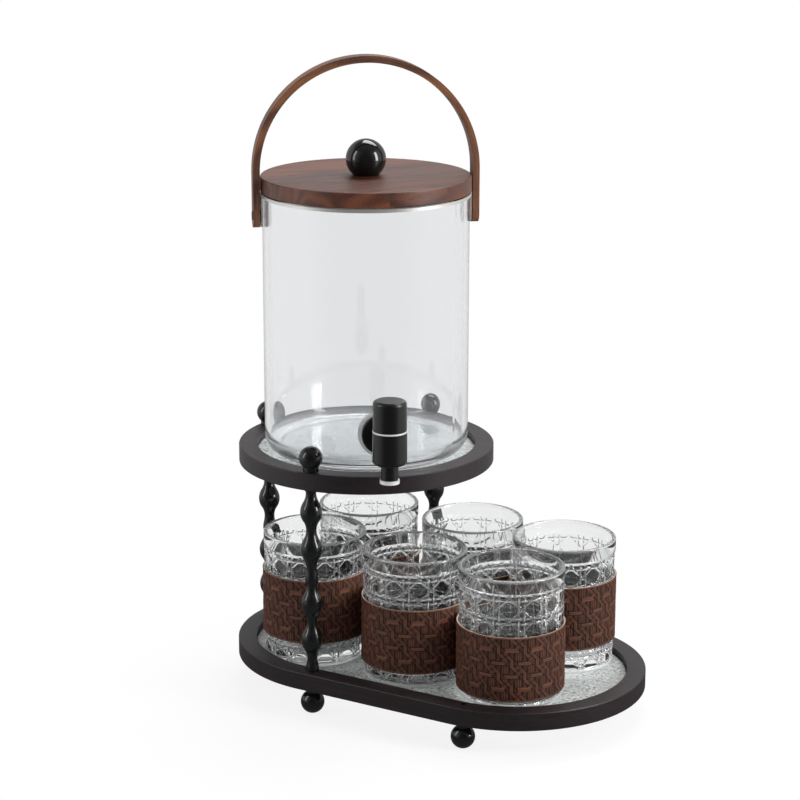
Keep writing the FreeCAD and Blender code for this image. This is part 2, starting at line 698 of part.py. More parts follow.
seal_outer = jar_bore - s.seal_play
seal_inner = seal_outer - s.seal_width
spigot_radius = seal_inner + s.seal_groove
seal_low = (s.spigot_depth - s.seal_height) / 2
seal_high = seal_low + s.seal_height
recess_radius = s.bolt_head_radius + s.thread_play
spigot = lathe(
    "lid_spigot",
    [
        (lid_hole_radius, s.bolt_head_height),
        (recess_radius, s.bolt_head_height),
        (recess_radius, ZERO),
        (spigot_radius, ZERO),
        (spigot_radius, seal_low),
        (seal_inner, seal_low),
        (seal_inner, seal_high),
        (spigot_radius, seal_high),
        (spigot_radius, s.spigot_depth),
        (lid_hole_radius, s.spigot_depth),
    ],
)
keep("lid_spigot", place(spigot, x=jar_x, z=jar_top - s.spigot_depth))
seal = lathe(
    "lid_seal",
    [
        (seal_inner, ZERO),
        (seal_outer, ZERO),
        (seal_outer, s.seal_height),
        (seal_inner, s.seal_height),
    ],
)
keep("lid_seal", place(seal, x=jar_x, z=jar_top - s.spigot_depth + seal_low))

lid_top = jar_top + s.lid_thickness
knob_middle = lid_top + s.knob_radius - s.knob_flat
knob_ball = doc.addObject("Part::Sphere", "knob_ball")
knob_ball.setExpression("Radius", s.knob_radius.text)
place(knob_ball, x=jar_x, z=knob_middle)
knob_under = cylinder("knob_under", s.knob_radius, s.knob_flat)
place(knob_under, x=jar_x, z=lid_top - s.knob_flat)
knob_hole = cylinder("knob_hole", lid_hole_radius, s.knob_screw_depth + s.hole_end_play)
place(knob_hole, x=jar_x, z=lid_top)
keep("lid_knob", cut_all("lid_knob", knob_ball, [knob_under, knob_hole]))
screw_top = s.spigot_depth + s.lid_thickness + s.knob_screw_depth
knob_screw = lathe(
    "lid_knob_screw",
    [
        (ZERO, ZERO),
        (s.bolt_head_radius, ZERO),
        (s.bolt_head_radius, s.bolt_head_height),
        (s.stud_radius, s.bolt_head_height),
        (s.stud_radius, screw_top),
        (ZERO, screw_top),
    ],
)
keep("lid_knob_screw", place(knob_screw, x=jar_x, z=jar_top - s.spigot_depth))

# ---------------------------------------------------------------- hoop and handle
ear_inner = s.jar_radius + s.ear_play
ear_outer = ear_inner + s.ear_thickness
hoop_inner = s.jar_radius + s.hoop_play
hoop = lathe(
    "hoop_ring",
    [
        (hoop_inner, ZERO),
        (hoop_inner + s.hoop_thickness, ZERO),
        (hoop_inner + s.hoop_thickness, s.hoop_height),
        (hoop_inner, s.hoop_height),
    ],
)
hoop_level = jar_top - s.hoop_drop - s.hoop_height
place_on_jar(hoop, up=hoop_level)
ear_low = pivot_level - s.leg_drop
ear_height = hoop_level + s.hoop_height - ear_low
jar_turn = FreeCAD.Rotation(V(0, 0, 1), heading)
crosswise = jar_turn * FreeCAD.Rotation(V(1, 0, 0), -90)


def lay_across(thing, across, up):
    """Lay a cylinder across the jar, square to the tap, from the given distance onwards."""
    spot = V(jar_x.value, 0, up.value) + jar_turn.multVec(V(0, across.value, 0))
    thing.Placement = FreeCAD.Placement(spot, crosswise)
    return thing


bands = hoop
ear_half = s.ear_width / 2
for side, name in ((1, "right"), (-1, "left")):
    inner = ear_inner if side > 0 else -ear_outer
    ear = doc.addObject("Part::Box", f"ear_{name}")
    ear.setExpression("Length", s.ear_width.text)
    ear.setExpression("Width", s.ear_thickness.text)
    ear.setExpression("Height", (ear_height - ear_half).text)
    place_on_jar(ear, -ear_half, inner, ear_low + ear_half)
    ear_end = cylinder(f"ear_end_{name}", ear_half, s.ear_thickness)
    lay_across(ear_end, inner, ear_low + ear_half)
    whole_ear = boolean("Fuse", f"whole_ear_{name}", ear, ear_end)
    bands = boolean("Fuse", f"hoop_with_{name}_ear", bands, whole_ear)
ear_bore = cylinder("ear_bore", s.pivot_radius + s.thread_play, ear_outer * 2)
lay_across(ear_bore, -ear_outer, pivot_level)
keep("handle_hoop", boolean("Cut", "handle_hoop", bands, ear_bore))

bow = new_body("handle_bow")
bow_sketch = new_sketch(bow, "handle_bow_outline", "YZ_Plane")


def draw_bow(sketch):
    """The bow's outline: two half circles about the bow's centre and two straight legs."""
    rise = bow_level - ear_low
    inner, outer = s.bow_radius, s.bow_radius + s.bow_thickness
    z, a, b = rise.value, inner.value, outer.value
    centre = V(0, z, 0)
    arcs = [
        sketch.addGeometry(Part.ArcOfCircle(Part.Circle(centre, V(0, 0, 1), r), 0, math.pi), False)
        for r in (a, b)
    ]
    for arc, radius in zip(arcs, (inner, outer)):
        fix(sketch, "DistanceX", -1, 1, arc, 3, length=0)
        fix(sketch, "DistanceY", -1, 1, arc, 3, length=rise)
        fix(sketch, "Radius", arc, length=radius)
    for end, side in ((1, 1), (2, -1)):
        legs = [
            sketch.addGeometry(Part.LineSegment(V(side * r, z, 0), V(side * r, 0, 0)), False)
            for r in (a, b)
        ]
        foot = sketch.addGeometry(Part.LineSegment(V(side * a, 0, 0), V(side * b, 0, 0)), False)
        for arc, leg in zip(arcs, legs):
            sketch.addConstraint(Sketcher.Constraint("Tangent", arc, end, leg, 1))
        sketch.addConstraint(Sketcher.Constraint("Coincident", legs[0], 2, foot, 1))
        sketch.addConstraint(Sketcher.Constraint("Coincident", legs[1], 2, foot, 2))
        fix(sketch, "DistanceX", -1, 1, foot, 1, length=inner * side)
        fix(sketch, "DistanceY", -1, 1, foot, 1, length=0)
        fix(sketch, "DistanceX", -1, 1, foot, 2, length=outer * side)
        fix(sketch, "DistanceY", -1, 1, foot, 2, length=0)


draw_bow(bow_sketch)
extrude(bow, "handle_bow_pad", bow_sketch, "Pad", s.bow_width, middle=True)
leg_corners = [
    f"Edge{index}"
    for index, edge in enumerate(bow.Tip.Shape.Edges, start=1)
    if edge.BoundBox.ZMax < 1e-6 and edge.BoundBox.XLength < 1e-6
]
round_off(bow, "handle_leg_rounding", leg_corners, s.leg_rounding)
pivot_sketch = new_sketch(bow, "handle_pivot_outline", "XZ_Plane")
draw_circle(pivot_sketch, 0, s.leg_drop, s.pivot_radius + s.pivot_play)
bow_outer = s.bow_radius + s.bow_thickness
extrude(bow, "handle_pivot_holes", pivot_sketch, "Pocket", bow_outer * 2.2, middle=True)
keep("handle_bow", place_on_jar(bow, up=ear_low))

washers = []
screws = []
shank_end = s.bow_radius + s.bow_thickness + s.pivot_play
for side in (1, -1):
    name = "right" if side > 0 else "left"
    washer = lathe(
        f"washer_{name}",
        [
            (s.pivot_radius + s.thread_play, ear_outer),
            (s.washer_radius, ear_outer),
            (s.washer_radius, ear_outer + s.washer_thickness),
            (s.pivot_radius + s.thread_play, ear_outer + s.washer_thickness),
        ],
    )
    screw = lathe(
        f"pivot_screw_{name}",
        [
            (ZERO, ear_inner),
            (s.pivot_radius, ear_inner),
            (s.pivot_radius, shank_end),
            (s.pivot_head_radius, shank_end),
            (s.pivot_head_radius, shank_end + s.pivot_head_height),
            (ZERO, shank_end + s.pivot_head_height),
        ],
    )
    outward = jar_turn * FreeCAD.Rotation(V(1, 0, 0), -90 * side)
    for thing in (washer, screw):
        spot = V(jar_x.value, 0, pivot_level.value)
        thing.Placement = FreeCAD.Placement(spot, outward)
    washers.append(washer)
    screws.append(screw)
group("handle_washers", washers)
group("handle_pivot_screws", screws)

# ---------------------------------------------------------------- tap: what clamps it to the jar
gasket_face = s.jar_radius + s.gasket_thickness
flange_face = gasket_face + s.flange_thickness
thread_radius = s.shank_radius + s.thread_play


def tube(name, bore, radius, start, end):
    """A ring or tube from one distance to another along its own axis."""
    return lathe(name, [(bore, start), (radius, start), (radius, end), (bore, end)])


def jar_shell(name, radius):
    thing = cylinder(name, radius, s.jar_height)
    return place(thing, x=jar_x, z=jar_floor)


outer_blank = tube(
    "outer_gasket_blank", thread_radius, s.gasket_radius, s.gasket_start, gasket_face
)
place_on_jar(outer_blank, up=shank_level, lying=True)
outer_shell = jar_shell("jar_outside", s.jar_radius + s.gasket_play)
keep("tap_outer_gasket", boolean("Cut", "tap_outer_gasket", outer_blank, outer_shell))

nut_face = s.gasket_end - s.inner_gasket_edge
inner_blank = tube(
    "inner_gasket_blank", thread_radius, s.inner_gasket_radius, nut_face, jar_bore
)
place_on_jar(inner_blank, up=shank_level, lying=True)
inner_shell = jar_shell("jar_inside", jar_bore - s.gasket_play)
keep("tap_inner_gasket", boolean("Common", "tap_inner_gasket", inner_blank, inner_shell))

nut = new_body("tap_lock_nut")
nut_sketch = new_sketch(nut, "nut_outline", "XY_Plane")
flat = s.nut_width / 2
corner = s.nut_width / math.sqrt(3)
draw_outline(
    nut_sketch,
    [
        (corner, ZERO),
        (corner / 2, flat),
        (-corner / 2, flat),
        (-corner, ZERO),
        (-corner / 2, -flat),
        (corner / 2, -flat),
    ],
)
draw_circle(nut_sketch, 0, 0, thread_radius)
extrude(nut, "nut_pad", nut_sketch, "Pad", s.nut_thickness)
place_on_jar(nut, nut_face - s.nut_thickness, 0, shank_level, lying=True)
keep("tap_lock_nut", nut)

flange = tube("tap_flange", thread_radius, s.flange_radius, gasket_face, flange_face)
round_circles(flange, "flange_rounding", [(s.flange_radius, flange_face)], s.flange_rounding)
keep("tap_flange", place_on_jar(flange, up=shank_level, lying=True))

shank_start = jar_bore - s.shank_inside
core_bore = s.core_radius + s.core_play
shank_end_x = s.tap_reach - core_bore
shank_blank = tube("shank_blank", s.shank_bore, s.shank_radius, shank_start, shank_end_x)
place_on_jar(shank_blank, up=shank_level, lying=True)
core_space = cylinder("core_space", core_bore, s.tap_radius * 3)
place_on_jar(core_space, s.tap_reach, 0, shank_level - s.tap_radius)
keep("tap_shank", boolean("Cut", "tap_shank", shank_blank, core_space))

# ---------------------------------------------------------------- tap: body, core and knob
body_low = shank_level - s.tap_below
body_high = s.tap_below + s.tap_above
tap_blank = lathe(
    "tap_blank",
    [
        (s.spout_bore, -s.spout_length),
        (s.spout_radius, -s.spout_length),
        (s.spout_radius, ZERO),
        (s.tap_radius, ZERO),
        (s.tap_radius, body_high),
        (core_bore, body_high),
        (core_bore, s.core_floor),
        (s.spout_bore, s.core_floor),
    ],
)
round_circles(tap_blank, "tap_low_rounding", [(s.tap_radius, 0)], s.tap_rounding)
place_on_jar(tap_blank, s.tap_reach, 0, body_low)
shank_socket = cylinder("shank_socket", thread_radius, s.tap_reach - flange_face)
place_on_jar(shank_socket, flange_face, 0, shank_level, lying=True)
keep("tap_body", boolean("Cut", "tap_body", tap_blank, shank_socket))

outlet = tube("tap_outlet_ring", s.spout_bore, s.outlet_radius, ZERO, s.outlet_height)
keep("tap_outlet_ring", outlet)
place_on_jar(outlet, s.tap_reach, 0, body_low - s.spout_length - s.outlet_height)

collar = tube("tap_collar_ring", core_bore, s.tap_radius, ZERO, s.collar_thickness)
keep("tap_collar_ring", collar)
place_on_jar(collar, s.tap_reach, 0, body_low + body_high)

knob_low = body_low + body_high + s.collar_thickness + s.knob_gap
stem_bore = s.stem_radius + s.thread_play
tap_knob = lathe(
    "tap_knob_blank",
    [
        (stem_bore, ZERO),
        (s.tap_knob_radius, ZERO),
        (s.tap_knob_radius, s.tap_knob_height),
        (ZERO, s.tap_knob_height),
        (ZERO, s.stem_length + s.hole_end_play),
        (stem_bore, s.stem_length + s.hole_end_play),
    ],
)
knob_rim = [(s.tap_knob_radius, s.tap_knob_height)]
round_circles(tap_knob, "tap_knob_rounding", knob_rim, s.tap_rounding)
place_on_jar(tap_knob, s.tap_reach, 0, knob_low)
grub_hole = cylinder("grub_hole", s.grub_radius + s.thread_play, s.tap_knob_radius)
place_on_jar(
    grub_hole, s.tap_reach - s.tap_knob_radius, 0, knob_low + s.stem_length / 2, lying=True
)
keep("tap_knob", boolean("Cut", "tap_knob", tap_knob, grub_hole))
grub = cylinder("tap_knob_screw", s.grub_radius, s.tap_knob_radius - stem_bore - s.grub_recess)
place_on_jar(
    grub,
    s.tap_reach - s.tap_knob_radius + s.grub_recess,
    0,
    knob_low + s.stem_length / 2,
    lying=True,
)
keep("tap_knob_screw", grub)

core_low = body_low + s.core_floor + s.core_play
core_top = knob_low - core_low
groove_radius = s.core_radius - s.o_ring_section * 2
groove_half = s.o_ring_section + s.core_play
groove_levels = (s.o_ring_section * 2, core_top - s.o_ring_section * 3)


def core_outline():
    """The valve core's outline with a groove for each O-ring and its stem."""
    corners = [(ZERO, ZERO), (s.core_radius, ZERO)]
    for level in groove_levels:
        corners.append((s.core_radius, level - groove_half))
        corners.append((groove_radius, level - groove_half))
        corners.append((groove_radius, level + groove_half))
        corners.append((s.core_radius, level + groove_half))
    corners.append((s.core_radius, core_top))
    corners.append((s.stem_radius, core_top))
    corners.append((s.stem_radius, core_top + s.stem_length))
    corners.append((ZERO, core_top + s.stem_length))
    return corners


core_blank = lathe("core_blank", core_outline())
place_on_jar(core_blank, s.tap_reach, 0, core_low)
core_port = cylinder("core_port", s.shank_bore, s.core_radius * 2)
port_start = V(jar_x.value, 0, shank_level.value)
port_start += jar_turn.multVec(V(s.tap_reach.value, -s.core_radius.value, 0))
core_port.Placement = FreeCAD.Placement(port_start, crosswise)
core_outlet = cylinder("core_outlet", s.shank_bore, shank_level - core_low)
place_on_jar(core_outlet, s.tap_reach, 0, core_low)
keep("tap_valve_core", cut_all("tap_valve_core", core_blank, [core_port, core_outlet]))
rings = []
for index, level in enumerate(groove_levels, start=1):
    ring = doc.addObject("Part::Torus", f"o_ring_{index}")
    ring.setExpression("Radius1", (s.core_radius - s.o_ring_section).text)
    ring.setExpression("Radius2", s.o_ring_section.text)
    rings.append(place_on_jar(ring, s.tap_reach, 0, core_low + level))
group("tap_o_rings", rings)


# ---------------------------------------------------------------- tumblers and sleeves
def make_tumbler(node, x, y):
    """A straight tumbler: a smooth rim band over a slightly thinner patterned wall."""
    inner = s.tumbler_rim_radius - s.tumbler_wall
    band = s.tumbler_height - s.tumbler_band
    body = lathe(
        node,
        [
            (ZERO, ZERO),
            (s.tumbler_radius, ZERO),
            (s.tumbler_radius, band),
            (s.tumbler_rim_radius, band),
            (s.tumbler_rim_radius, s.tumbler_height),
            (inner, s.tumbler_height),
            (inner, s.tumbler_base),
            (ZERO, s.tumbler_base),
        ],
    )
    foot = [(s.tumbler_radius, 0), (inner, s.tumbler_base)]
    round_circles(body, f"{node}_corners", foot, s.tumbler_corner)
    rim = [(s.tumbler_rim_radius, s.tumbler_height), (inner, s.tumbler_height)]
    round_circles(body, f"{node}_rim", rim, s.tumbler_rim_rounding)
    keep(node, place(body, x, y, tumbler_floor))


def make_sleeve(node, x, y, level):
    """A leather sleeve, open at both ends."""
    inner = s.tumbler_radius + s.sleeve_play
    body = tube(node, inner, inner + s.sleeve_thickness, ZERO, s.sleeve_height)
    keep(node, place(body, x, y, tumbler_floor + level))


def row_places(row, side):
    """Where the left, middle and right tumbler of a row stand."""
    left, middle, right = row
    right_place = s.tray_span / 2 + getattr(s, f"tumbler_{right}_beyond")
    places = {
        left: jar_x - getattr(s, f"tumbler_{left}_beyond"),
        middle: right_place - s.tumbler_rim_radius * 2 - s.column_gap,
        right: right_place,
    }
    return {index: (x, getattr(s, f"tumbler_{index}_aside") * side) for index, x in places.items()}


tumbler_places = row_places(FRONT_ROW, -1) | row_places(BACK_ROW, 1)
for index, (x, y) in sorted(tumbler_places.items()):
    make_tumbler(f"tumbler_{index}", x, y)
    make_sleeve(f"sleeve_{index}", x, y, getattr(s, f"sleeve_{index}_level"))

# ---------------------------------------------------------------- checks and export
doc.recompute()
for thing in doc.Objects:
    if {"Invalid", "Error"} & set(thing.State):
        raise RuntimeError(f"{thing.Label} failed: {thing.State}")
os.makedirs("parts", exist_ok=True)
for node, thing in subparts.items():
    shape = thing.Shape
    if shape.isNull() or not shape.isValid() or not shape.Solids:
        raise RuntimeError(f"{node} has no valid solid")
    shape.exportStep(f"parts/{node}.step")
    print(f"{node}: {len(shape.Solids)} solid(s), {shape.Volume / 1000:.2f} cm3")
print(f"{len(subparts)} sub-parts, jar floor {jar_floor.value:.1f}, lid top {lid_top.value:.1f}")
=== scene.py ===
"""Cocktail dispenser: a glass jar with a tap on a two-tier stand, and six sleeved tumblers."""

import math

import bmesh
import bpy
import numpy as np
from mathutils import Matrix, Vector, noise


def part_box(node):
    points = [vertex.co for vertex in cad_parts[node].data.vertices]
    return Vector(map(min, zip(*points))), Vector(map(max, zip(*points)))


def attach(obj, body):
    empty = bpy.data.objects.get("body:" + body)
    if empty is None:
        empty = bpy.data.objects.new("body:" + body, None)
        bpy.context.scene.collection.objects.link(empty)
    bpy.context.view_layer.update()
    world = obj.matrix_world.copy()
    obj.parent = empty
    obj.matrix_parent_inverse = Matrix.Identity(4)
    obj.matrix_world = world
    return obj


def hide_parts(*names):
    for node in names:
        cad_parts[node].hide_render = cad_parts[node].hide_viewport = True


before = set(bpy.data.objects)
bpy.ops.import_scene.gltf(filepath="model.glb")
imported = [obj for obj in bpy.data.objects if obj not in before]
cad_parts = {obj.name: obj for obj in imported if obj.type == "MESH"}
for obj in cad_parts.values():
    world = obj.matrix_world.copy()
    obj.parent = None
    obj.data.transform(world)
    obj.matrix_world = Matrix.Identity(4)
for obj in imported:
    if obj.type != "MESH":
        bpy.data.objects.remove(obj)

bl_info = {
    "name": "Cocktail dispenser",
    "version": (1, 0, 0),
    "blender": (4, 5, 0),
    "location": "3D View > Sidebar > Dispenser",
    "description": "Finishes a drinks jar on its stand, with its tap, tumblers and sleeves",
    "category": "Object",
}

MM = 0.001
CENTRE = {name: (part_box(name)[0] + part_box(name)[1]) / 2 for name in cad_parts}
JAR = CENTRE["jar_glass"]
TAP_HEADING = math.atan2(CENTRE["tap_body"].y - JAR.y, CENTRE["tap_body"].x - JAR.x)
TUMBLERS = range(1, 7)
POST_NODES = [
    f"{part}_{side}"
    for part in ("lower_post", "upper_post", "finial")
    for side in ("front", "left", "back")
]
FOOT_NODES = [
    f"foot_{corner}" for corner in ("front_left", "back_left", "front_right", "back_right")
]
# each piece of the tray's rail with the way its straight grain runs, in degrees from +X
RAIL_GRAIN = {
    "tray_rail_front": 0,
    "tray_rail_back": 0,
    "tray_rail_right_front": 45,
    "tray_rail_right_back": -45,
    "tray_rail_left_front": -30,
    "tray_rail_left": 90,
    "tray_rail_left_back": 30,
    "upper_ring_frame": 20,
}
# how bright the studio is from the camera's side (0) to the far side (1)
MIRRORED_LEVELS = [(0.08, 0.08), (0.33, 1.0), (0.6, 1.0), (0.9, 0.65)]
CLEAR_LEVELS = [(0.05, 0.45), (0.3, 1.0), (0.6, 1.0)]
# each lamp: degrees right of the camera, degrees up, metres away, its size, its share of power
LAMPS = {
    "left_lamp": (-74, 24, 1.6, (0.3, 1.2), 0.4),
    "right_lamp": (66, 22, 1.6, (0.4, 1.2), 1.6),
    "top_lamp": (160, 62, 1.5, (1.1, 0.6), 1.2),
}


def linear(code):
    """The linear colour of an sRGB hex code."""
    shares = [int(code[i : i + 2], 16) / 255 for i in (1, 3, 5)]
    return tuple(c / 12.92 if c <= 0.04045 else ((c + 0.055) / 1.055) ** 2.4 for c in shares)


def colour_setting(name, description, code):
    return bpy.props.FloatVectorProperty(
        name=name,
        description=description,
        subtype="COLOR",
        size=3,
        min=0.0,
        max=1.0,
        default=linear(code),
    )


def length_setting(name, description, millimetres):
    return bpy.props.FloatProperty(
        name=name,
        description=description,
        subtype="DISTANCE",
        unit="LENGTH",
        min=0.0,
        precision=5,
        default=millimetres * MM,
    )


def angle_setting(name, description, degrees):
    return bpy.props.FloatProperty(
        name=name,
        description=description,
        subtype="ANGLE",
        unit="ROTATION",
        default=math.radians(degrees),
    )


def count_setting(name, description, least, most, default):
    return bpy.props.IntProperty(
        name=name, description=description, min=least, max=most, default=default
    )


# ---------------------------------------------------------------- settings
class StandSettings(bpy.types.PropertyGroup):
    stain: colour_setting("Stain", "Espresso stain on the beech rails", "#1E1517")
    lacquer: colour_setting("Lacquer", "Black lacquer on posts, feet, finials and knob", "#111213")
    grain_width: length_setting("Grain width", "Distance between two streaks of grain", 1.6)
    plate: colour_setting("Plates", "Grey green of the cast glass plates", "#DCE0DE")
    hammer_width: length_setting("Hammer marks", "Width of a dimple in the glass plates", 2.2)
    hammer_depth: length_setting("Hammer depth", "Depth of a dimple in the glass plates", 0.3)
    plate_edge: length_setting("Plate edge", "Bevel of a plate's cut edge", 0.6)
    facet: length_setting("Facet", "Side of one face of a plate", 1.2)


class WoodSettings(bpy.types.PropertyGroup):
    dark: colour_setting("Late wood", "Dark lines of the lid's walnut", "#3E1E13")
    light: colour_setting("Early wood", "Light wood between the lid's dark lines", "#6A3922")
    bow_dark: colour_setting("Handle, late wood", "Dark lines of the handle's walnut", "#4C2C1E")
    bow_light: colour_setting("Handle, early wood", "Light wood of the handle", "#805030")
    grain_turn: angle_setting("Grain turn", "Turn of the lid's boards from the X axis", 62.0)
    board_width: length_setting("Board width", "Width of the boards the lid is glued from", 52.0)
    ring_width: length_setting("Ring width", "Distance between two dark lines", 4.5)


class GlassSettings(bpy.types.PropertyGroup):
    tint: colour_setting("Tint", "Tint of the tumblers' glass", "#F1F2F2")
    repeats: count_setting("Cane repeats", "Octagons of the pattern around a tumbler", 6, 24, 13)
    relief: length_setting("Relief", "Height of the pressed cane pattern", 1.1)
    strand: length_setting("Strand", "Width of one pressed strand", 1.9)
    band: length_setting("Lip band", "Height of the plain band under the lip", 10.7)
    step: length_setting("Step", "How far the band stands out past the wall", 0.4)
    wall: length_setting("Wall", "Thickness of a tumbler's wall at the band", 3.2)
    base: length_setting("Base", "Thickness of a tumbler's bottom", 9.0)
    foot: length_setting("Foot", "Rounding between a tumbler's bottom and wall", 3.0)
    floor_round: length_setting("Floor", "Rounding between the floor inside and the wall", 4.0)
    facet: length_setting("Facet", "Side of one face of the pressed pattern", 0.5)


class LeatherSettings(bpy.types.PropertyGroup):
    hide: colour_setting("Hide", "Chocolate brown of the leather", "#5A3627")
    # painted shade: the near-black colour that the low grooves of the weave take
    groove_shade: colour_setting("Grooves", "Dye that gathers in the embossed grooves", "#150A07")
    edge: colour_setting("Cut edge", "Greyish tan of the cut edge", "#B39C8B")
    # flesh: a near-black colour for the side towards the glass
    flesh: colour_setting("Flesh side", "Dark dye on the side towards the glass", "#120C0A")
    columns: count_setting("Columns", "Columns of the weave around a sleeve", 10, 60, 26)
    thickness: length_setting("Thickness", "Thickness of the leather", 1.5)
    relief: length_setting("Relief", "Depth of the embossed weave", 1.0)
    upright: length_setting("Upright straps", "Width of an upright strap", 3.0)
    level: length_setting("Level straps", "Width of a level strap", 2.8)
    crossing: length_setting("Crossing straps", "Width of a slanting strap", 2.6)
    crease: length_setting("Crease", "Width of the crease along a strap", 0.3)
    barrel_width: length_setting("Barrel width", "Width of a ribbed barrel", 7.4)
    barrel_height: length_setting("Barrel height", "Height of a ribbed barrel", 8.8)
    rib: length_setting("Ribs", "Distance between two ribs of a barrel", 1.7)
    facet: length_setting("Facet", "Side of one face of the embossed weave", 0.5)


class FittingSettings(bpy.types.PropertyGroup):
    jar: colour_setting("Jar", "Tint of the jar's glass", "#F1F2F3")
    plastic: colour_setting("Tap", "Satin black of the tap", "#0C0C0D")
    washer: colour_setting("Washers", "Black nylon of the handle's washers", "#1A1A1A")
    ring: colour_setting("Tap rings", "Bead-blasted aluminium rings of the tap", "#DADADA")
    hoop: colour_setting("Hoop", "Bead-blasted steel of the hoop", "#D3D1CD")
    screw: colour_setting("Screws", "Black oxide on the handle's screws", "#2A2725")
    zinc: colour_setting("Post studs", "Zinc plate on the posts' studs", "#B5B7B8")
    phosphate: colour_setting("Foot studs", "Black phosphate on the feet's studs", "#161413")
    silicone: colour_setting("Silicone", "Milky silicone of seal and gaskets", "#D5D8D8")


class StageSettings(bpy.types.PropertyGroup):
    floor: colour_setting("Floor", "Colour of floor and surroundings", "#FFFFFF")
    lamp_power: bpy.props.FloatProperty(
        name="Lamps",
        description="Power of which each lamp has its share",
        subtype="POWER",
        unit="POWER",
        min=0.0,
        default=14.0,
    )
    ambient: bpy.props.FloatProperty(
        name="Ambient light",
        description="Strength of the surroundings as a light",
        min=0.0,
        default=0.42,
    )
    mirrored: bpy.props.FloatProperty(
        name="Mirrored light",
        description="Brightness of the surroundings in metal and lacquer",
        min=0.0,
        default=0.9,
    )
    azimuth: angle_setting("Azimuth", "Turn of the camera from the front to the right", 30.941)
    elevation: angle_setting("Elevation", "Height of the camera as an angle", 14.949)
    lean: angle_setting("Lean", "How far the camera leans to its side", 0.11)
    distance: length_setting("Distance", "From the camera to the middle of the picture", 1896.2)


# ---------------------------------------------------------------- materials
def opaque(colour):
    return (*colour, 1.0)


def add(tree, kind, inputs=None, stops=(), **settings):
    """Add a node, set its properties, and fill or link its inputs.

    An input is a value, a socket, or a node of which the first socket in use is linked.
    """
    node = tree.nodes.new(kind)
    for name, value in settings.items():
        setattr(node, name, value)
    for key, value in (inputs or {}).items():
        socket = node.inputs[key]
        if isinstance(value, bpy.types.Node):
            value = next(output for output in value.outputs if output.enabled)
        if isinstance(value, bpy.types.NodeSocket):
            tree.links.new(value, socket)
        else:
            socket.default_value = opaque(value) if socket.type == "RGBA" else value
    if stops:
        elements = node.color_ramp.elements
        while len(elements) < len(stops):
            elements.new(1.0)
        for element, (position, colour) in zip(elements, stops):
            element.position = position
            element.color = opaque(colour)
    return node


def new_material(name):
    """A material with an empty tree, and the place of each point of the piece in metres."""
    material = bpy.data.materials.new(name)
    material.use_nodes = True
    tree = material.node_tree
    tree.nodes.clear()
    return material, tree, add(tree, "ShaderNodeTexCoord").outputs["Object"]


def finish(material, shader):
    """Link a shader to the material's output."""
    add(material.node_tree, "ShaderNodeOutputMaterial", {"Surface": shader})
    return material


def streaked(tree, place, size, detail, roughness=0.5):
    """A noise of streaks with the given length, width and height in metres."""
    scale = tuple(1 / side for side in size)
    stretched = add(tree, "ShaderNodeMapping", {"Vector": place, "Scale": scale})
    look = {"Vector": stretched, "Scale": 1.0, "Detail": detail, "Roughness": roughness}
    return add(tree, "ShaderNodeTexNoise", look)


def surface(tree, look, height, strength, depth):
    """A principled shader with a fine relief: depth in metres, strength as a share of it."""
    bump = {"Height": height, "Strength": strength, "Distance": depth}
    normal = add(tree, "ShaderNodeBump", bump)
    return add(tree, "ShaderNodeBsdfPrincipled", {**look, "Normal": normal})


def lacquered_wood(settings):
    """Turned wood under black lacquer: deep gloss with soft waves, so lights look like windows."""
    material, tree, place = new_material("Turned beech, black gloss lacquer")
    waves = add(tree, "ShaderNodeTexNoise", {"Vector": place, "Scale": 1 / (6.25 * MM), "Detail": 2.0})
    gloss = add(tree, "ShaderNodeMapRange", {"Value": waves, "To Min": 0.06, "To Max": 0.14})
    look = {"Base Color": settings.lacquer, "Roughness": gloss, "IOR": 1.5}
    return finish(material, surface(tree, look, waves, 0.12, 0.4 * MM))


def stained_beech(settings, turn):
    """Beech stained espresso and lacquered: nearly black, with a red cast and fine streaks."""
    material, tree, place = new_material(f"Beech, espresso stain, grain at {turn} degrees")
    turned = add(
        tree,
        "ShaderNodeMapping",
        {"Vector": place, "Rotation": (0.0, 0.0, math.radians(-turn))},
    )
    width = settings.grain_width
    streaks = streaked(tree, turned, (width * 40, width, width), 5.0, 0.6)
    stain = Vector(settings.stain)
    colour = add(
        tree,
        "ShaderNodeValToRGB",
        {"Fac": streaks},
        stops=[(0.3, stain * 0.6), (0.5, stain), (0.72, stain * 1.5)],
    )
    gloss = add(tree, "ShaderNodeMapRange", {"Value": streaks, "To Min": 0.5, "To Max": 0.38})
    look = {"Base Color": colour, "Roughness": gloss, "IOR": 1.5}
    return finish(material, surface(tree, look, streaks, 0.25, 0.3 * MM))


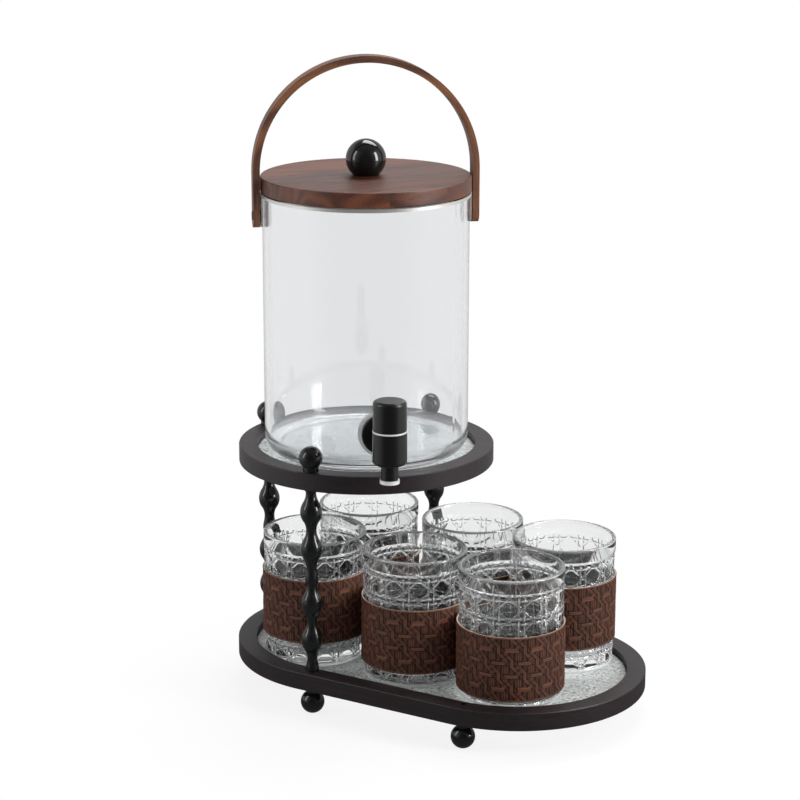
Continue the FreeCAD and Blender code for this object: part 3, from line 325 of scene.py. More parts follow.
def walnut_surface(tree, settings, dark, light, grain, roughness, tone=0.0):
    """Oiled walnut with its grain along X of the given coordinates; tone lightens a board."""
    # contours of a slow noise are the nested loops that flat-sawn rings draw on a board
    width = settings.ring_width * 9
    field = streaked(tree, grain, (width * 5, width, width), 1.5, 0.4)
    loops = add(tree, "ShaderNodeMath", {0: field, 1: 18 * math.pi}, operation="MULTIPLY")
    rings = add(tree, "ShaderNodeMath", {0: loops}, operation="SINE")
    pores = streaked(tree, grain, (15 * MM, 0.5 * MM, 0.5 * MM), 4.0, 0.65)
    ring_share = add(
        tree,
        "ShaderNodeMapRange",
        {"Value": rings, "From Min": -1.0, "From Max": 1.0, "To Max": 0.22},
    )
    share = add(tree, "ShaderNodeMath", {0: pores, 1: 0.9, 2: ring_share}, operation="MULTIPLY_ADD")
    toned = add(tree, "ShaderNodeMath", {0: share, 1: tone}, operation="ADD")
    dark, light = Vector(dark), Vector(light)
    colour = add(
        tree,
        "ShaderNodeValToRGB",
        {"Fac": toned},
        stops=[(0.25, dark * 0.7), (0.45, dark), (0.75, light), (1.0, light * 1.2)],
    )
    satin = add(
        tree,
        "ShaderNodeMapRange",
        {"Value": pores, "To Min": roughness + 0.06, "To Max": roughness - 0.06},
    )
    look = {"Base Color": colour, "Roughness": satin, "IOR": 1.5}
    return surface(tree, look, pores, 0.35, 0.3 * MM)


def glued_walnut(settings):
    """Walnut boards glued edge to edge and oiled: each board has its own loops and tone."""
    material, tree, place = new_material("Walnut boards, glued and oiled")
    turned = add(
        tree,
        "ShaderNodeMapping",
        {"Vector": place, "Rotation": (0.0, 0.0, -settings.grain_turn)},
    )
    axes = add(tree, "ShaderNodeSeparateXYZ", {"Vector": turned})
    boards = add(
        tree,
        "ShaderNodeMath",
        {0: axes.outputs["Y"], 1: 1 / settings.board_width, 2: 0.35},
        operation="MULTIPLY_ADD",
    )
    board = add(tree, "ShaderNodeMath", {0: boards}, operation="FLOOR")
    chance = add(tree, "ShaderNodeTexWhiteNoise", {"W": board}, noise_dimensions="1D")
    grain = add(tree, "ShaderNodeVectorMath", {0: turned, 1: chance.outputs["Color"]}, operation="ADD")
    tone = add(
        tree,
        "ShaderNodeMapRange",
        {"Value": chance.outputs["Value"], "To Min": -0.08, "To Max": 0.16},
    )
    shader = walnut_surface(tree, settings, settings.dark, settings.light, grain, 0.42, tone)
    return finish(material, shader)


def bent_walnut(settings):
    """A walnut strip bent with steam: the grain follows the bow from one pivot to the other."""
    material, tree, place = new_material("Walnut strip, steam bent")
    low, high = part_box("handle_bow")
    radius = Vector((high.x - low.x, high.y - low.y)).length / 2
    local = add(
        tree,
        "ShaderNodeVectorMath",
        {0: place, 1: (JAR.x, JAR.y, high.z - radius)},
        operation="SUBTRACT",
    )
    across = TAP_HEADING + math.pi / 2
    turned = add(tree, "ShaderNodeMapping", {"Vector": local, "Rotation": (0.0, 0.0, -across)})
    axes = add(tree, "ShaderNodeSeparateXYZ", {"Vector": turned})
    x, y, z = axes.outputs
    # along the bow: its angle times its radius, and below the arch the length of the leg
    above = add(tree, "ShaderNodeMath", {0: z, 1: 0.0}, operation="MAXIMUM")
    below = add(tree, "ShaderNodeMath", {0: z, 1: 0.0}, operation="MINIMUM")
    side = add(tree, "ShaderNodeMath", {0: x}, operation="SIGN")
    angle = add(tree, "ShaderNodeMath", {0: above, 1: x}, operation="ARCTAN2")
    leg = add(tree, "ShaderNodeMath", {0: below, 1: side}, operation="MULTIPLY")
    along = add(tree, "ShaderNodeMath", {0: angle, 1: radius, 2: leg}, operation="MULTIPLY_ADD")
    spread = add(tree, "ShaderNodeCombineXYZ", {"X": x, "Z": above})
    out = add(tree, "ShaderNodeVectorMath", {0: spread}, operation="LENGTH")
    grain = add(tree, "ShaderNodeCombineXYZ", {"X": along, "Y": y, "Z": out})
    dark, light = settings.bow_dark, settings.bow_light
    return finish(material, walnut_surface(tree, settings, dark, light, grain, 0.45))


def hazy_glass(material, tint, haze):
    """Clear glass with a share of white diffuse, painted light where haze is given; it bends what is
    behind it and lets lamps through.
    """
    tree = material.node_tree
    clear = add(
        tree,
        "ShaderNodeBsdfPrincipled",
        {"Base Color": tint, "Roughness": 0.0, "IOR": 1.5, "Transmission Weight": 1.0},
    )
    scatter = add(tree, "ShaderNodeBsdfDiffuse", {"Color": tint})
    misted = add(tree, "ShaderNodeMixShader", {0: haze, 1: clear, 2: scatter})
    passed = add(tree, "ShaderNodeBsdfTransparent", {"Color": tint})
    shadow = add(tree, "ShaderNodeLightPath").outputs["Is Shadow Ray"]
    mixed = add(tree, "ShaderNodeMixShader", {0: shadow, 1: misted, 2: passed})
    return finish(material, mixed)


def blown_glass(settings):
    """Borosilicate glass: clear as air on the wall, with painted light at the foot: a ring of white
    diffuse that lightens its curve.
    """
    material, tree, place = new_material("Borosilicate glass, blown")
    low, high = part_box("jar_glass")
    radius = (high.x - low.x) / 2
    local = add(
        tree,
        "ShaderNodeVectorMath",
        {0: place, 1: (JAR.x, JAR.y, low.z)},
        operation="SUBTRACT",
    )
    axes = add(tree, "ShaderNodeSeparateXYZ", {"Vector": local})
    flat = add(tree, "ShaderNodeVectorMath", {0: local, 1: (1.0, 1.0, 0.0)}, operation="MULTIPLY")
    out = add(tree, "ShaderNodeVectorMath", {0: flat}, operation="LENGTH")
    # painted light: white diffuse over the foot's outer ring, strongest at the bottom, lightens the
    # dark ring that the curved foot shows
    beyond = add(
        tree,
        "ShaderNodeMapRange",
        {"Value": out, "From Min": radius - 12 * MM, "From Max": radius - 5 * MM, "To Max": 0.3},
    )
    haze = add(
        tree,
        "ShaderNodeMapRange",
        {"Value": axes.outputs["Z"], "From Max": 15 * MM, "To Min": beyond, "To Max": 0.0},
    )
    return hazy_glass(material, settings.jar, haze)


def pressed_glass(settings):
    """Soda-lime glass from a mould: a share of white diffuse on the strands' crests, the lip and the
    foot is a painted highlight.
    """
    material = new_material("Soda-lime glass, pressed")[0]
    tree = material.node_tree
    # painted highlight: where the mask is high, white diffuse is mixed into the glass
    crest = add(tree, "ShaderNodeAttribute", attribute_name="crest").outputs["Fac"]
    haze = add(
        tree,
        "ShaderNodeMapRange",
        {"Value": crest, "From Min": 0.65, "From Max": 1.0, "To Max": 0.45},
    )
    return hazy_glass(material, settings.tint, haze)


def cast_glass(settings):
    """Cast glass with a hammered face: milky and half clear, with painted sparks and painted shade in
    its colour.
    """
    material, tree, place = new_material("Soda-lime glass, cast and hammered")
    grain, slow = [
        add(tree, "ShaderNodeTexNoise", {"Vector": place, "Scale": 1 / spot, "Detail": 3.0})
        for spot in (2.4 * MM, 6 * MM)
    ]
    # contours of the slow noise draw curls of painted shade between the hammer marks
    level = add(tree, "ShaderNodeMath", {0: slow, 1: 0.5}, operation="SUBTRACT")
    contour = add(tree, "ShaderNodeMath", {0: level}, operation="ABSOLUTE")
    shade = add(
        tree,
        "ShaderNodeMapRange",
        {"Value": contour, "From Max": 0.03, "To Min": -0.22, "To Max": 0.0},
    )
    share = add(tree, "ShaderNodeMath", {0: grain, 1: shade}, operation="ADD")
    # painted shade and highlight: the dark end of the ramp is painted shade and its white end painted
    # sparks
    plate = Vector(settings.plate)
    colour = add(
        tree,
        "ShaderNodeValToRGB",
        {"Fac": share},
        stops=[(0.28, plate * 0.35), (0.4, plate * 0.85), (0.55, plate), (0.68, (1.0, 1.0, 1.0))],
    )
    look = {"Base Color": colour, "Roughness": 0.25, "IOR": 1.5, "Transmission Weight": 0.3}
    return finish(material, surface(tree, look, grain, 0.8, 0.4 * MM))


def embossed_leather(settings):
    """Cowhide embossed and dyed: painted shade darkens the low grooves and a painted highlight
    lightens the high strands.
    """
    material, tree, place = new_material("Cowhide, embossed and dyed")
    relief = add(tree, "ShaderNodeAttribute", attribute_name="relief").outputs["Fac"]
    mottle = add(tree, "ShaderNodeTexNoise", {"Vector": place, "Scale": 1 / (12 * MM), "Detail": 3.0})
    # painted shade and highlight: the higher the relief, the lighter the colour
    relief_shade = add(tree, "ShaderNodeMath", {0: relief, 1: 0.8}, operation="MULTIPLY")
    level = add(tree, "ShaderNodeMath", {0: mottle, 1: 0.2, 2: relief_shade}, operation="MULTIPLY_ADD")
    hide = Vector(settings.hide)
    colour = add(
        # the groove stop is painted shade, and the top stop at almost twice the hide is a painted
        # highlight
        tree,
        "ShaderNodeValToRGB",
        {"Fac": level},
        stops=[(0.3, settings.groove_shade), (0.5, hide * 0.55), (0.7, hide * 0.95), (0.88, hide * 1.9)],
    )
    pores = add(tree, "ShaderNodeTexVoronoi", {"Vector": place, "Scale": 1 / (0.5 * MM)}, feature="F1")
    look = {"Base Color": colour, "Roughness": 0.6, "IOR": 1.35}
    return finish(material, surface(tree, look, pores, 0.3, 0.1 * MM))


def raw_leather(name, edge):
    """Hide without its grain, as on a cut edge or the flesh side: fibrous and dull."""
    material, tree, place = new_material(name)
    fibres = add(tree, "ShaderNodeTexNoise", {"Vector": place, "Scale": 1 / (0.8 * MM), "Detail": 3.0})
    edge = Vector(edge)
    colour = add(tree, "ShaderNodeValToRGB", {"Fac": fibres}, stops=[(0.35, edge * 0.6), (0.65, edge)])
    look = {"Base Color": colour, "Roughness": 0.85}
    return finish(material, add(tree, "ShaderNodeBsdfPrincipled", look))


def moulded_plastic(name, colour, roughness, grit):
    """Moulded plastic: even colour and a satin grain from the tool."""
    material, tree, place = new_material(name)
    grain = add(tree, "ShaderNodeTexNoise", {"Vector": place, "Scale": 1 / grit, "Detail": 2.0})
    gloss = add(
        tree,
        "ShaderNodeMapRange",
        {"Value": grain, "To Min": roughness - 0.05, "To Max": roughness + 0.05},
    )
    look = {"Base Color": colour, "Roughness": gloss, "IOR": 1.5}
    return finish(material, surface(tree, look, grain, 0.15, 0.05 * MM))


def finished_metal(name, colour, roughness, metallic=1.0):
    """Plated or blasted metal, with faint brushing round the part that softens reflections."""
    material, tree, place = new_material(name)
    stroke, line = 50 * MM / 3, 0.25 * MM
    brushing = streaked(tree, place, (stroke, stroke, line), 2.0)
    gloss = add(
        tree,
        "ShaderNodeMapRange",
        {"Value": brushing, "To Min": roughness, "To Max": roughness + 0.12},
    )
    look = {"Base Color": colour, "Metallic": metallic, "Roughness": gloss}
    return finish(material, add(tree, "ShaderNodeBsdfPrincipled", look))


def silicone_rubber(settings):
    """Food-grade silicone, moulded: milky and half clear."""
    material, tree, place = new_material("Silicone, moulded")
    haze = add(tree, "ShaderNodeTexNoise", {"Vector": place, "Scale": 1 / (2 * MM), "Detail": 1.0})
    gloss = add(tree, "ShaderNodeMapRange", {"Value": haze, "To Min": 0.3, "To Max": 0.45})
    look = {
        "Base Color": settings.silicone,
        "Roughness": gloss,
        "IOR": 1.41,
        "Transmission Weight": 0.5,
    }
    return finish(material, add(tree, "ShaderNodeBsdfPrincipled", look))


# ---------------------------------------------------------------- mesh making
def coat(material, *nodes):
    """Give CAD nodes a material."""
    for node in nodes:
        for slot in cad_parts[node].material_slots:
            slot.material = material


def rings_to_mesh(name, rings, loop=False, **values):
    """A closed smooth mesh from rings of points; values are numbers kept with the points."""
    rows, count = rings.shape[:2]
    step = np.arange(count)
    after = (step + 1) % count
    quads = []
    for low in np.arange(rows if loop else rows - 1) * count:
        high = (low + count) % (rows * count)
        quads.append(np.stack([low + step, low + after, high + after, high + step], axis=1))
    mesh = bpy.data.meshes.new(name)
    mesh.from_pydata(rings.reshape(-1, 3), [], np.concatenate(quads).tolist())
    for attribute, numbers in values.items():
        layer = mesh.attributes.new(attribute, "FLOAT", "POINT")
        layer.data.foreach_set("value", numbers.astype(np.float32).reshape(-1))
    if not loop:
        work = bmesh.new()
        work.from_mesh(mesh)
        bmesh.ops.remove_doubles(work, verts=work.verts, dist=1e-7)
        work.to_mesh(mesh)
        work.free()
    mesh.shade_smooth()
    return mesh


def turned_rings(radii, heights, angles):
    """Rings of points round the Z axis, one row for each height and one column for each angle."""
    return np.stack([radii * np.cos(angles), radii * np.sin(angles), heights], axis=2)


def put(name, mesh, body, node):
    """Put a mesh in place of a CAD node and let it ride on the node's body."""
    piece = bpy.data.objects.new(name, mesh)
    bpy.context.scene.collection.objects.link(piece)
    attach(piece, body)
    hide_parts(node)


def copy_at(mesh, node, degrees):
    """A copy of a mesh made at the origin, turned and moved to where a CAD node stands."""
    low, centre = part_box(node)[0], CENTRE[node]
    copy = mesh.copy()
    turn = Matrix.Rotation(math.radians(degrees), 4, "Z")
    copy.transform(Matrix.Translation((centre.x, centre.y, low.z)) @ turn)
    return copy


def ridge(distance, width):
    """The rounded cross-section of a strand, 1 on its middle line and 0 past its edges."""
    return np.sqrt(np.clip(1 - (2 * distance / width) ** 2, 0, None))


def to_line(value, period, offset):
    """The signed distance from the nearest line of a family."""
    return (value - offset + period / 2) % period - period / 2


# ---------------------------------------------------------------- glass plates
def plate_mesh(name, node, half_span, settings):
    """A cast plate with a hammered top; half_span is half the length of its straight sides."""
    low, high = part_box(node)
    middle = (low + high) / 2
    radius = (high.y - low.y) / 2
    facet, edge = settings.facet, settings.plate_edge
    bend = int(math.pi * radius / facet)
    straight = int(2 * half_span / facet)
    # once round the plate: the right bend, the far side, the left bend, the near side
    angles = np.linspace(-math.pi / 2, math.pi / 2, bend + 1)[: bend + (1 if straight else 0)]
    right = np.stack([np.full(len(angles), half_span), np.zeros(len(angles))], axis=1)
    right_out = np.stack([np.cos(angles), np.sin(angles)], axis=1)
    spine, outward = [right], [right_out]
    if straight:
        along = np.linspace(half_span, -half_span, straight + 1)[1:-1]
        spine.append(np.stack([along, np.zeros(len(along))], axis=1))
        outward.append(np.tile([0.0, 1.0], (len(along), 1)))
    spine = np.concatenate(spine + [-part for part in spine])
    outward = np.concatenate(outward + [-part for part in outward])
    bottom = [(share * radius, low.z) for share in (0, 0.25, 0.5, 0.75)]
    bottom += [(radius - edge, low.z), (radius, low.z + edge), (radius, high.z - edge)]
    rows = int((radius - edge) / facet)
    top = [((radius - edge) * share, high.z) for share in np.linspace(1, 0, rows)]
    rings = np.array(
        [np.column_stack([spine + outward * r, np.full(len(spine), z)]) for r, z in bottom + top]
    )
    rings[:, :, :2] += middle.xy
    for row in rings[len(bottom) :]:
        for point in row:
            x, y = point[:2] / settings.hammer_width
            dimple = min(noise.voronoi((x, y, 0.0))[0][0], 1.0)
            wave = noise.noise((x * 0.4, y * 0.4, 4.0))
            point[2] -= settings.hammer_depth * (1 - dimple**2) * (0.75 + 0.25 * wave)
    return rings_to_mesh(name, rings)


# ---------------------------------------------------------------- tumblers
def cane_height(around, up, period, rise, strand):
    """Height of a cane weave, 0 to 1: pairs of strands both ways and single diagonals."""
    pair = period * 0.226
    height = np.zeros_like(around)
    from_upright = to_line(around, period, period / 2)
    from_level = to_line(up, rise, rise / 2)
    for side in (-1, 1):
        for here, beside, over in (
            (from_upright, from_level, 0.16 * side),
            (from_level, from_upright, -0.16 * side),
        ):
            weave = over * np.sin(np.pi * beside / pair) * (np.abs(beside) < pair)
            height = np.maximum(height, ridge(here - side * pair / 2, strand) * (0.84 + weave))
    for sign in (-1, 1):
        phase = around / period + sign * up / rise
        distance = to_line(phase, 1.0, 0.5) * period / math.sqrt(2)
        height = np.maximum(height, ridge(distance, strand) * 0.78)
    return height


def quarter(steps):
    """The sines and cosines of a quarter turn in equal steps."""
    turns = [step / steps * math.pi / 2 for step in range(steps + 1)]
    return [(math.sin(turn), math.cos(turn)) for turn in turns]


def tumbler_mesh(settings):
    """A pressed tumbler with its foot at the origin."""
    low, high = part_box("tumbler_1")
    rim, height = (high.x - low.x) / 2, high.z - low.z
    wall, inner = rim - settings.step, rim - settings.wall
    foot, base, floor_round = settings.foot, settings.base, settings.floor_round
    band_start = height - settings.band
    count = int(2 * math.pi * wall / settings.facet)
    angles = np.linspace(0, 2 * math.pi, count, endpoint=False)
    period = 2 * math.pi * wall / settings.repeats
    rise = period * 0.95
    profile = [(0.0, 0.0), (0.4 * wall, 0.0), (0.8 * wall, 0.0)]
    foot_row = len(profile) - 1
    profile += [(wall - foot * (1 - sine), foot * (1 - cosine)) for sine, cosine in quarter(4)]
    relief_rows = int((band_start - foot - 1.4 * MM) / settings.facet)
    levels = np.linspace(foot, band_start - 1.0 * MM, relief_rows)
    profile += [(wall, z) for z in levels[1:]]
    first, last = len(profile) - relief_rows + 1, len(profile)
    profile += [(wall, band_start), (wall + 0.1 * MM, band_start + 0.1 * MM)]
    profile += [(rim - 0.1 * MM, band_start + 0.3 * MM), (rim, band_start + 0.8 * MM)]
    profile += [(rim, band_start + 5 * MM)]
    lip, lip_row, lip_steps = (rim - inner) / 2, len(profile), 8
    for step in range(lip_steps + 1):
        turn = step / lip_steps * math.pi
        profile.append((rim - lip + lip * math.cos(turn), height - lip + lip * math.sin(turn)))
    profile += [(inner, height * share) for share in (0.85, 0.7, 0.55, 0.4, 0.25)]
    profile += [
        (inner - floor_round * (1 - cosine), base + floor_round * (1 - sine))
        for sine, cosine in quarter(5)
    ]
    profile += [(0.8 * inner, base), (0.4 * inner, base), (0.0, base)]
    radii, heights = np.repeat(np.array(profile).T[:, :, None], count, axis=2)
    around = np.tile(angles * wall, (last - first, 1))
    # the pattern starts with a level pair of strands 2.4 mm under the band
    up = heights[first:last] - (band_start - 2.4 * MM) + rise / 2
    weave = cane_height(around, up, period, rise, settings.strand)
    fade = np.clip((heights[first:last] - foot) / (1.5 * MM), 0, 1)
    radii[first:last] -= settings.relief * (1 - weave) * fade
    # painted highlight: the mask is full on the foot, follows the crests of the pattern and is part
    # way on the lip
    crests = np.zeros_like(radii)
    crests[foot_row:first] = 1.0
    crests[first:last] = weave * fade + (1 - fade)
    crests[lip_row : lip_row + lip_steps + 1] = 0.74
    return rings_to_mesh("tumbler", turned_rings(radii, heights, angles), crest=crests)


# ---------------------------------------------------------------- sleeves
def strap(distance, width):
    """The cross-section of a pressed strap, hollow in the middle and high along both edges."""
    out = (2 * distance / width) ** 2
    return np.sqrt(np.clip(1 - out**8, 0, None)) * (0.7 + 0.4 * out)


def basket_height(around, up, pitch, rise, settings):
    """Height of the embossed weave: straps and crossing pairs over and under, round barrels."""
    column, row = around / pitch, up / rise
    cell_column, cell_row = np.round(column), np.round(row)
    dx, dy = (column - cell_column) * pitch, (row - cell_row) * rise
    even = (cell_column + cell_row) % 2 == 0
    ribs = 0.7 + 0.3 * np.cos(2 * math.pi * dx / settings.rib)
    barrel = ridge(dx, settings.barrel_width) * ridge(dy, settings.barrel_height)
    height = np.sqrt(even * barrel) * ribs * 0.9
    # each strap as its distance, its width and how far it lies over the others
    over = np.sin(np.pi * row) * np.where(np.floor(column) % 2 == 0, 1, -1)
    straps = [
        (to_line(around, pitch, pitch / 2), settings.upright, over),
        (to_line(up, rise, rise / 2), settings.level, -over),
    ]
    scale = 2 / math.sqrt(1 / pitch**2 + 1 / rise**2)
    for sign in (-1, 1):
        phase = (column + sign * row) / 2
        along = sign * np.sin(np.pi * (column - sign * row))
        for side in (-1, 1):
            distance = (to_line(phase, 1.0, 0.5) + side * 0.115) * scale
            straps.append((distance, settings.crossing, along * side * 0.7))
    # the strap that lies highest shows, with the crease that its edges press into the others
    highest = np.full_like(around, -2.0)
    for distance, width, level in straps:
        covers = (np.abs(distance) < width / 2 + settings.crease) & (level > highest)
        height = np.where(covers, strap(distance, width) * (0.78 + 0.22 * level), height)
        highest = np.where(covers, level, highest)
    return height


def sleeve_mesh(settings):
    """An embossed leather sleeve with its lower edge at the origin.

    Its faces take the first material on the weave, the second on the cut edges and the third
    inside.
    """
    low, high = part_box("sleeve_1")
    outer, height = (high.x - low.x) / 2, high.z - low.z
    inner = outer - settings.thickness
    rows = int((height - 2 * MM) / settings.facet)
    count = int(2 * math.pi * outer / settings.facet)
    angles = np.linspace(0, 2 * math.pi, count, endpoint=False)
    pitch = 2 * math.pi * outer / settings.columns
    rise = pitch * 1.04
    margin = 0.7 * MM
    profile = [(outer, z) for z in np.linspace(margin, height - margin, rows)]
    profile += [
        (outer - 0.1 * MM, height - 0.25 * MM),
        (outer - 0.4 * MM, height),
        (inner + 0.3 * MM, height),
        (inner, height - 0.3 * MM),
        (inner, height * 0.5),
        (inner, 0.3 * MM),
        (inner + 0.3 * MM, 0.0),
        (outer - 0.4 * MM, 0.0),
        (outer - 0.1 * MM, 0.25 * MM),
    ]
    radii, heights = np.repeat(np.array(profile).T[:, :, None], count, axis=2)
    around = np.tile(angles * outer, (rows, 1))
    weave = basket_height(around, heights[:rows] - height / 2, pitch, rise, settings)
    from_edge = np.minimum(heights[:rows], height - heights[:rows]) - margin
    weave = np.maximum(weave, np.clip(1 - from_edge / (0.8 * MM), 0, 1) * 0.9)
    radii[:rows] -= settings.relief * (1 - weave)
    relief = np.ones_like(radii)
    relief[:rows] = weave
    mesh = rings_to_mesh("sleeve", turned_rings(radii, heights, angles), loop=True, relief=relief)
    covers = np.zeros(len(mesh.polygons), dtype=np.int32)
    covers[rows * count :] = 2
    covers[(rows + 1) * count : (rows + 3) * count] = 1
    covers[(rows + 6) * count : (rows + 8) * count] = 1
    mesh.polygons.foreach_set("material_index", covers)
    return mesh


# ---------------------------------------------------------------- stage
def towards(turn, rise):
    """The direction at an angle from the front to the right and at an angle up."""
    level = math.cos(rise)
    return Vector((math.sin(turn) * level, -math.cos(turn) * level, math.sin(rise)))


def brightness(tree, direction, settings, levels):
    """How bright the studio looks in a direction, by its share from camera to far side."""
    away = -towards(settings.azimuth, 0.0)
    facing = add(tree, "ShaderNodeVectorMath", {0: direction, 1: away}, operation="DOT_PRODUCT")
    share = add(tree, "ShaderNodeMapRange", {"Value": facing, "From Min": -1.0, "From Max": 1.0})
    stops = [(position, (level, level, level)) for position, level in levels]
    return add(tree, "ShaderNodeValToRGB", {"Fac": share}, stops=stops)


# ---------------------------------------------------------------- operators
class DISPENSER_OT_stage(bpy.types.Operator):
    """Lay the floor, set the lamps and surroundings, and place the camera"""

    bl_idname = "dispenser.stage"
    bl_label = "Set the stage"

    def execute(self, context):
        scene = context.scene
        settings = scene.dispenser_stage
        scene.view_settings.view_transform = "Standard"
        self.lay_floor(scene, settings)
        self.light_surroundings(scene, settings)
        self.set_lamps(scene, settings)
        self.place_camera(scene, settings)
        return {"FINISHED"}

    def lay_floor(self, scene, settings):
        """A paper floor that fades into plain white away from the part's shadow."""
        mesh = bpy.data.meshes.new("floor")
        work = bmesh.new()
        bmesh.ops.create_circle(work, cap_ends=True, segments=96, radius=30.0)
        work.to_mesh(mesh)
        work.free()
        floor = bpy.data.objects.new("floor", mesh)
        scene.collection.objects.link(floor)
        floor.location.z = -0.2 * MM
        material, tree, place = new_material("Paper backdrop, matt white")
        fibres = add(tree, "ShaderNodeTexNoise", {"Vector": place, "Scale": 1 / (2.5 * MM)})
        look = {
            "Base Color": Vector(settings.floor) * 0.92,
            "Roughness": 0.95,
            "Specular IOR Level": 0.0,
        }
        paper = surface(tree, look, fibres, 0.05, 0.1 * MM)
        white = add(tree, "ShaderNodeEmission", {"Color": settings.floor})
        distance = add(tree, "ShaderNodeVectorMath", {0: place}, operation="LENGTH")
        fade = add(
            tree,
            "ShaderNodeMapRange",
            {"Value": distance, "From Min": 0.15, "From Max": 0.3, "To Min": 0.84, "To Max": 1.0},
        )
        seen = add(tree, "ShaderNodeMixShader", {0: fade, 1: paper, 2: white})
        # metal and lacquer mirror a dim floor that meets the surroundings without an edge
        direction = add(tree, "ShaderNodeVectorMath", {0: place}, operation="NORMALIZE")
        wall = brightness(tree, direction, settings, MIRRORED_LEVELS)
        spread = add(tree, "ShaderNodeMapRange", {"Value": distance, "From Min": 0.2, "From Max": 1.2})
        mirrored = add(
            tree,
            "ShaderNodeMix",
            {"Factor": spread, "A": 0.15, "B": wall},
            data_type="FLOAT",
        )
        strength = add(
            tree,
            "ShaderNodeMath",
            {0: mirrored, 1: settings.mirrored},
            operation="MULTIPLY",
        )
        dim = add(tree, "ShaderNodeEmission", {"Color": settings.floor, "Strength": strength})
        path = add(tree, "ShaderNodeLightPath").outputs
        straight = add(
            tree,
            "ShaderNodeMath",
            {0: path["Is Glossy Ray"], 1: path["Is Transmission Ray"]},
            operation="SUBTRACT",
            use_clamp=True,
        )
        mixed = add(tree, "ShaderNodeMixShader", {0: straight, 1: seen, 2: dim})
        mesh.materials.append(finish(material, mixed))

    def light_surroundings(self, scene, settings):
        """A white studio that the camera, glass, polish and matt surfaces each see their way."""
        world = bpy.data.worlds.new("Studio")
        scene.world = world
        world.use_nodes = True
        tree = world.node_tree
        tree.nodes.clear()
        direction = add(tree, "ShaderNodeTexCoord").outputs["Generated"]
        axes = add(tree, "ShaderNodeSeparateXYZ", {"Vector": direction})
        ceiling = add(
            tree,
            "ShaderNodeMapRange",
            {
                "Value": axes.outputs["Z"],
                "From Min": 0.45,
                "From Max": 0.8,
                "To Min": settings.mirrored,
                "To Max": settings.mirrored * 0.3,
            },
            interpolation_type="SMOOTHSTEP",
        )
        walls = brightness(tree, direction, settings, MIRRORED_LEVELS)
        seen_through = brightness(tree, direction, settings, CLEAR_LEVELS)
        mirrored = add(tree, "ShaderNodeMath", {0: walls, 1: ceiling}, operation="MULTIPLY")
        path = add(tree, "ShaderNodeLightPath")
        strength = settings.ambient
        for ray, level in (
            ("Is Glossy Ray", mirrored),
            ("Is Transmission Ray", seen_through),
            ("Is Camera Ray", 1.0),
        ):
            strength = add(
                tree,
                "ShaderNodeMix",
                {"Factor": path.outputs[ray], "A": strength, "B": level},
                data_type="FLOAT",
            )
        light = {"Color": settings.floor, "Strength": strength}
        background = add(tree, "ShaderNodeBackground", light)
        add(tree, "ShaderNodeOutputWorld", {"Surface": background})

    def set_lamps(self, scene, settings):
        """Area lamps that face the middle of the part, unseen by the camera."""
        middle = Vector((0.0, 0.0, 220.0)) * MM
        for name, (turn, rise, distance, size, share) in LAMPS.items():
            lamp = bpy.data.lights.new(name, "AREA")
            lamp.shape = "RECTANGLE"
            lamp.size, lamp.size_y = size
            lamp.energy = settings.lamp_power * share
            lamp_object = bpy.data.objects.new(name, lamp)
            scene.collection.objects.link(lamp_object)
            back = towards(settings.azimuth + math.radians(turn), math.radians(rise))
            lamp_object.location = middle + back * distance
            lamp_object.rotation_euler = back.to_track_quat("Z", "Y").to_euler()
            lamp_object.visible_camera = False

    def place_camera(self, scene, settings):
        """A long lens that sees the part from the front right and a little above."""
        camera = bpy.data.cameras.new("camera")
        camera.lens = 108.976
        camera.sensor_width = 36.0
        camera.clip_end = 60.0
        camera_object = bpy.data.objects.new("camera", camera)
        scene.collection.objects.link(camera_object)
        back = towards(settings.azimuth, settings.elevation)
        right = towards(settings.azimuth + math.pi / 2, 0.0)
        up = back.cross(right)
        lean = Matrix.Rotation(settings.lean, 3, back)
        matrix = Matrix((lean @ right, lean @ up, back)).transposed().to_4x4()
        target = Vector((-44.09, 13.55, 227.28)) * MM
        matrix.translation = target + back * settings.distance
        camera_object.matrix_world = matrix
        scene.camera = camera_object


class DISPENSER_OT_stand(bpy.types.Operator):
    """Stain the rails, lacquer posts, feet and finials, and finish the studs"""

    bl_idname = "dispenser.stand"
    bl_label = "Finish the stand"

    def execute(self, context):
        settings = context.scene.dispenser_stand
        fittings = context.scene.dispenser_fittings
        coat(lacquered_wood(settings), *POST_NODES, *FOOT_NODES)
        for node, turn in RAIL_GRAIN.items():
            coat(stained_beech(settings, turn), node)
        coat(finished_metal("Steel, zinc plated", fittings.zinc, 0.3), "post_studs")
        blackened = finished_metal("Steel, black phosphate", fittings.phosphate, 0.5)
        coat(blackened, "foot_studs", "left_post_bolt")
        return {"FINISHED"}


class DISPENSER_OT_plates(bpy.types.Operator):
    """Cast the two hammered glass plates"""

    bl_idname = "dispenser.plates"
    bl_label = "Cast the plates"

    def execute(self, context):
        settings = context.scene.dispenser_stand
        material = cast_glass(settings)
        low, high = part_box("lower_tray_glass")
        half_span = ((high.x - low.x) - (high.y - low.y)) / 2
        for name, node, half in (
            ("tray_plate", "lower_tray_glass", half_span),
            ("ring_plate", "upper_ring_glass", 0.0),
        ):
            mesh = plate_mesh(name, node, half, settings)
            mesh.materials.append(material)
            put(name, mesh, "stand", node)
        return {"FINISHED"}


